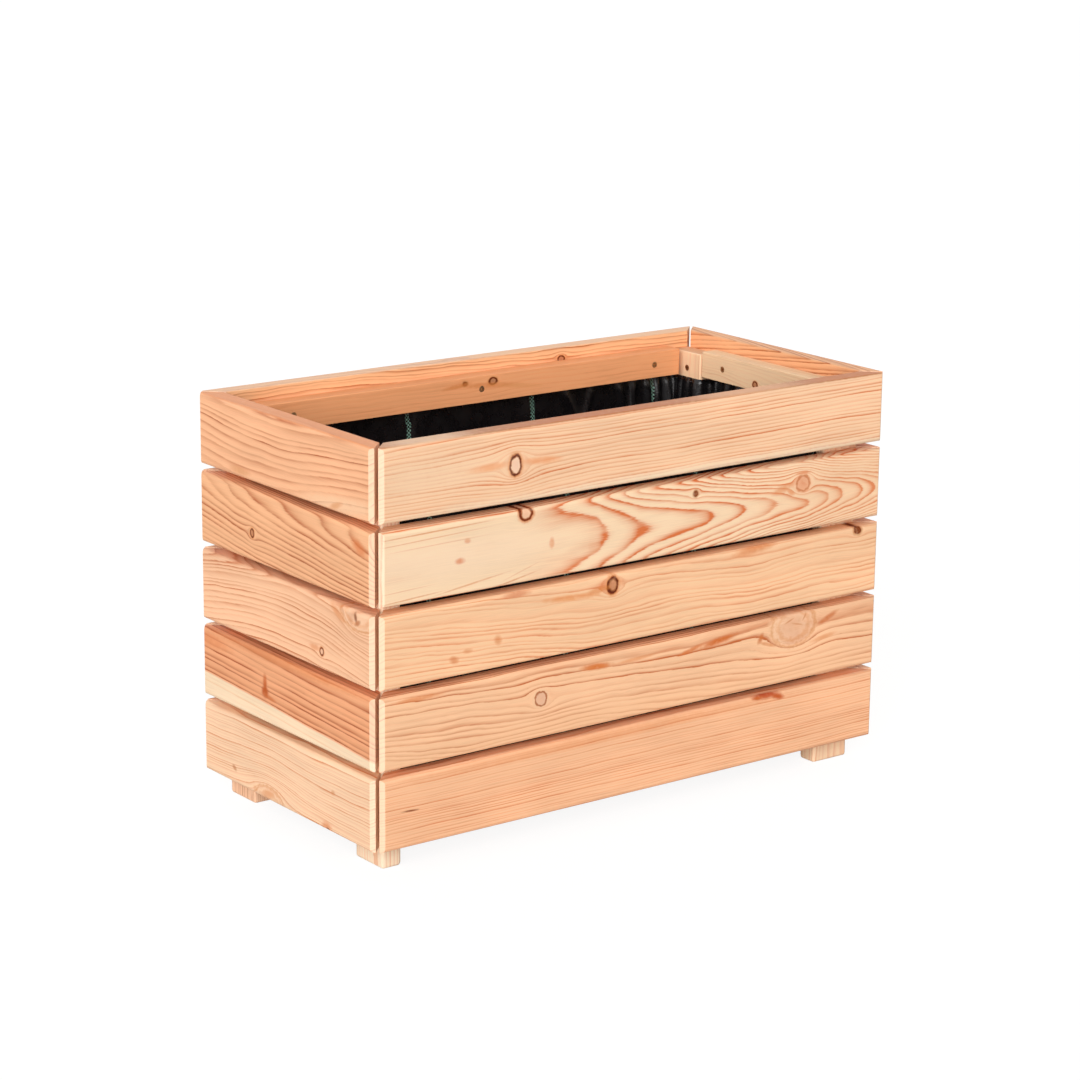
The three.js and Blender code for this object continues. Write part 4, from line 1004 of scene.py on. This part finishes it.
# %% The liner's floor
edge = [Vector(v.co.xy) for v in rings[0]]
inside = []
for ix in range(-36, 37):
    for iy in range(-17, 18):
        p = Vector((ix * 0.01, iy * 0.01))
        nearest = min(range(count), key=lambda i: (p - edge[i]).length)
        if (p - edge[nearest]).length > 0.006 and (p - edge[nearest]).dot(inward[nearest]) > 0:
            inside.append(p)
points, _, triangles, *_ = geometry.delaunay_2d_cdt(edge + inside, [], [list(range(count))], 1, 1e-6)
floor_points = list(rings[0])
for p in points[count:]:
    gap = min(abs(p.x - g) for g in (-0.252, -0.126, 0.0, 0.126, 0.252))  # from the nearest gap between slats
    margin = min(1.0, min((p - e).length for e in edge) / 0.02)
    ripple = 0.0018 * margin * (0.5 + noise.noise(Vector((p.x * 16, p.y * 16, 1.7))))
    sag = 0.0022 * max(0.0, 1 - (gap / 0.012) ** 2)
    floor_points.append(cloth.verts.new((p.x, p.y, LINER_FLOOR * MM + ripple - sag)))
for triangle in triangles:
    for loop in cloth.faces.new([floor_points[k] for k in reversed(triangle)]).loops:
        loop[cut].uv = loop.vert.co.xy
for face in cloth.faces:
    face.smooth = True
liner_mesh = bpy.data.meshes.new("woven_liner")
cloth.to_mesh(liner_mesh)
cloth.free()
liner = bpy.data.objects.new("woven_liner", liner_mesh)
bpy.context.collection.objects.link(liner)
thickness = liner.modifiers.new("cloth", "SOLIDIFY")
thickness.thickness, thickness.offset = 0.5 * MM, 0.0
print("liner:", len(liner_mesh.polygons), "faces")

# %% [markdown]
# ## Woven polypropylene
# Polypropylene tape is a smooth black plastic, so the fabric has a plastic's IOR and a rather low roughness:
# it is nearly black, with thin glints where a fold catches the light. Over and under is a checkerboard of the
# two tape directions on the flat cut's own map, so the weave follows the folds. Every 200 mm two of the tapes
# are green, and show as a dotted line, because every second crossing lies under.

# %% The fabric's material
def woven_tape(name):
    """Black woven tape on the map of the flat cut, in metres."""
    material, tree = empty_material(name)
    flat = add(tree, "ShaderNodeUVMap", uv_map="cut")
    tapes = add(tree, "ShaderNodeMapping", {"Vector": flat, "Scale": (400, 400, 1)})
    way = add(tree, "ShaderNodeSeparateXYZ", {0: tapes})
    crown = []
    for axis in ("X", "Y"):
        across = add(tree, MATH, {0: way.outputs[axis]}, operation="FRACT")
        middle = add(tree, MATH, {0: across, 1: 0.5}, operation="SUBTRACT")
        middle = add(tree, MATH, {0: middle, 1: middle}, operation="MULTIPLY")
        crown.append(add(tree, MATH, {0: middle, 1: -3.2, 2: 1.0}, operation="MULTIPLY_ADD"))
    over = add(tree, "ShaderNodeTexChecker", {
        "Vector": tapes, "Scale": 1.0, "Color1": (1, 1, 1, 1), "Color2": (0, 0, 0, 1)})
    relief = add(tree, "ShaderNodeMix", {0: over.outputs["Fac"], 2: crown[0], 3: crown[1]}, data_type="FLOAT")
    sway = add(tree, "ShaderNodeTexNoise", {"Vector": flat, "Scale": 28.0, "Detail": 2.0})
    shifted = add(tree, MATH, {0: way.outputs["X"], 1: 39.0}, operation="ADD")
    shifted = add(tree, MATH, {0: sway, 1: 5.0, 2: shifted}, operation="MULTIPLY_ADD")
    marker = add(tree, MATH, {0: shifted, 1: 81.0}, operation="FLOORED_MODULO")  # a marker every 81 tapes
    marker = add(tree, MATH, {0: marker, 1: 2.6}, operation="LESS_THAN")
    green = add(tree, MATH, {0: marker, 1: over.outputs["Fac"]}, operation="MULTIPLY")
    dust = add(tree, "ShaderNodeTexNoise", {"Vector": flat, "Scale": 60.0, "Detail": 4.0})
    black = add(tree, "ShaderNodeMix", {0: dust, 6: linear("080708"), 7: linear("141113")}, data_type="RGBA").outputs[2]
    tint = add(tree, "ShaderNodeMix", {0: over.outputs["Fac"], 6: black, 7: linear("110E10")}, data_type="RGBA")
    colour = add(tree, "ShaderNodeMix", {0: green, 6: tint.outputs[2], 7: linear("7CA191")}, data_type="RGBA")
    rough = add(tree, "ShaderNodeMapRange", {"Value": dust, "To Min": 0.16, "To Max": 0.4})
    bump = add(tree, "ShaderNodeBump", {"Height": relief.outputs[0], "Strength": 0.25, "Distance": 0.0003})
    shader = add(tree, "ShaderNodeBsdfPrincipled", {
        "Base Color": colour.outputs[2], "Roughness": rough.outputs["Result"], "IOR": 1.49,
        "Specular IOR Level": 0.5, "Normal": bump})
    add(tree, "ShaderNodeOutputMaterial", {"Surface": shader})
    return material


liner_mesh.materials.append(woven_tape("woven_black_polypropylene_tape"))
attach(liner, "root")
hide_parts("liner")

# %% [markdown]
# ## Staples
# Two wire staples hold the liner's edge to each post. A staple is a crown and two legs of flattened wire:
# three small blocks joined into one, on every point it is given, with its edges rounded by a Bevel.

# %% The staple tree
tree, given, out = new_tree("wire staple", [("Crown", "Float"), ("Leg", "Float"), ("Wire", "Float")] + PLACES)
crown, leg, wire = (given.outputs[n] for n in ("Crown", "Leg", "Wire"))
leg_end = add(tree, MATH, {0: crown, 1: wire}, operation="SUBTRACT")
leg_z = add(tree, MATH, {0: leg, 1: -0.4}, operation="MULTIPLY")
crown_z = add(tree, MATH, {0: wire, 1: 0.5}, operation="MULTIPLY")
pieces = []
for side, wide, high, z in ((0.0, crown, wire, crown_z), (-0.5, wire, leg, leg_z), (0.5, wire, leg, leg_z)):
    x = add(tree, MATH, {0: leg_end, 1: side}, operation="MULTIPLY")
    size = add(tree, "ShaderNodeCombineXYZ", {"X": wide, "Y": wire, "Z": high})
    pieces.append(add(tree, "GeometryNodeTransform", {
        "Geometry": add(tree, "GeometryNodeMeshCube", {"Size": size}),
        "Translation": add(tree, "ShaderNodeCombineXYZ", {"X": x, "Z": z})}))
staple = add(tree, "GeometryNodeMeshBoolean", {"Mesh 2": pieces}, operation="UNION", solver="EXACT")
finish_tree(tree, given, out, add(tree, "GeometryNodeInstanceOnPoints", {
    "Points": given.outputs["Geometry"], "Instance": staple.outputs["Mesh"]}))
staple_tree = tree
print("tree:", tree.name, len(tree.nodes), "nodes")

# %% Set the staples
set_staples = []
for corner, outward in POST_FACES.items():
    nodes = [f"liner_staple_{corner}_{i}" for i in (1, 2)]
    low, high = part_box(nodes[0])
    level_axis = Vector((-outward.y, outward.x, 0))
    crown_axis = Z if (high - low).z > abs((high - low).dot(level_axis)) else level_axis
    turn = Matrix((crown_axis, outward.cross(crown_axis), outward)).transposed()
    heads = [head_of(n, -outward) - outward * MM for n in nodes]
    middle = (heads[0] + heads[1]) / 2
    local = [tuple(turn.inverted() @ (h - middle)) for h in heads]
    set_staples.append(grow("staple", staple_tree, galvanised, {
        "Crown": 11 * MM, "Leg": 8 * MM, "Wire": 1 * MM, "Place": middle, "Turn": turn.to_euler()},
        bevel=(0.22 * MM, 2, 60), points=local))
staples = join("liner_staples", set_staples)
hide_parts(*[f"liner_staple_{corner}_{i}" for corner in POST_FACES for i in (1, 2)])
print("staples:", len(staples.data.polygons), "faces")
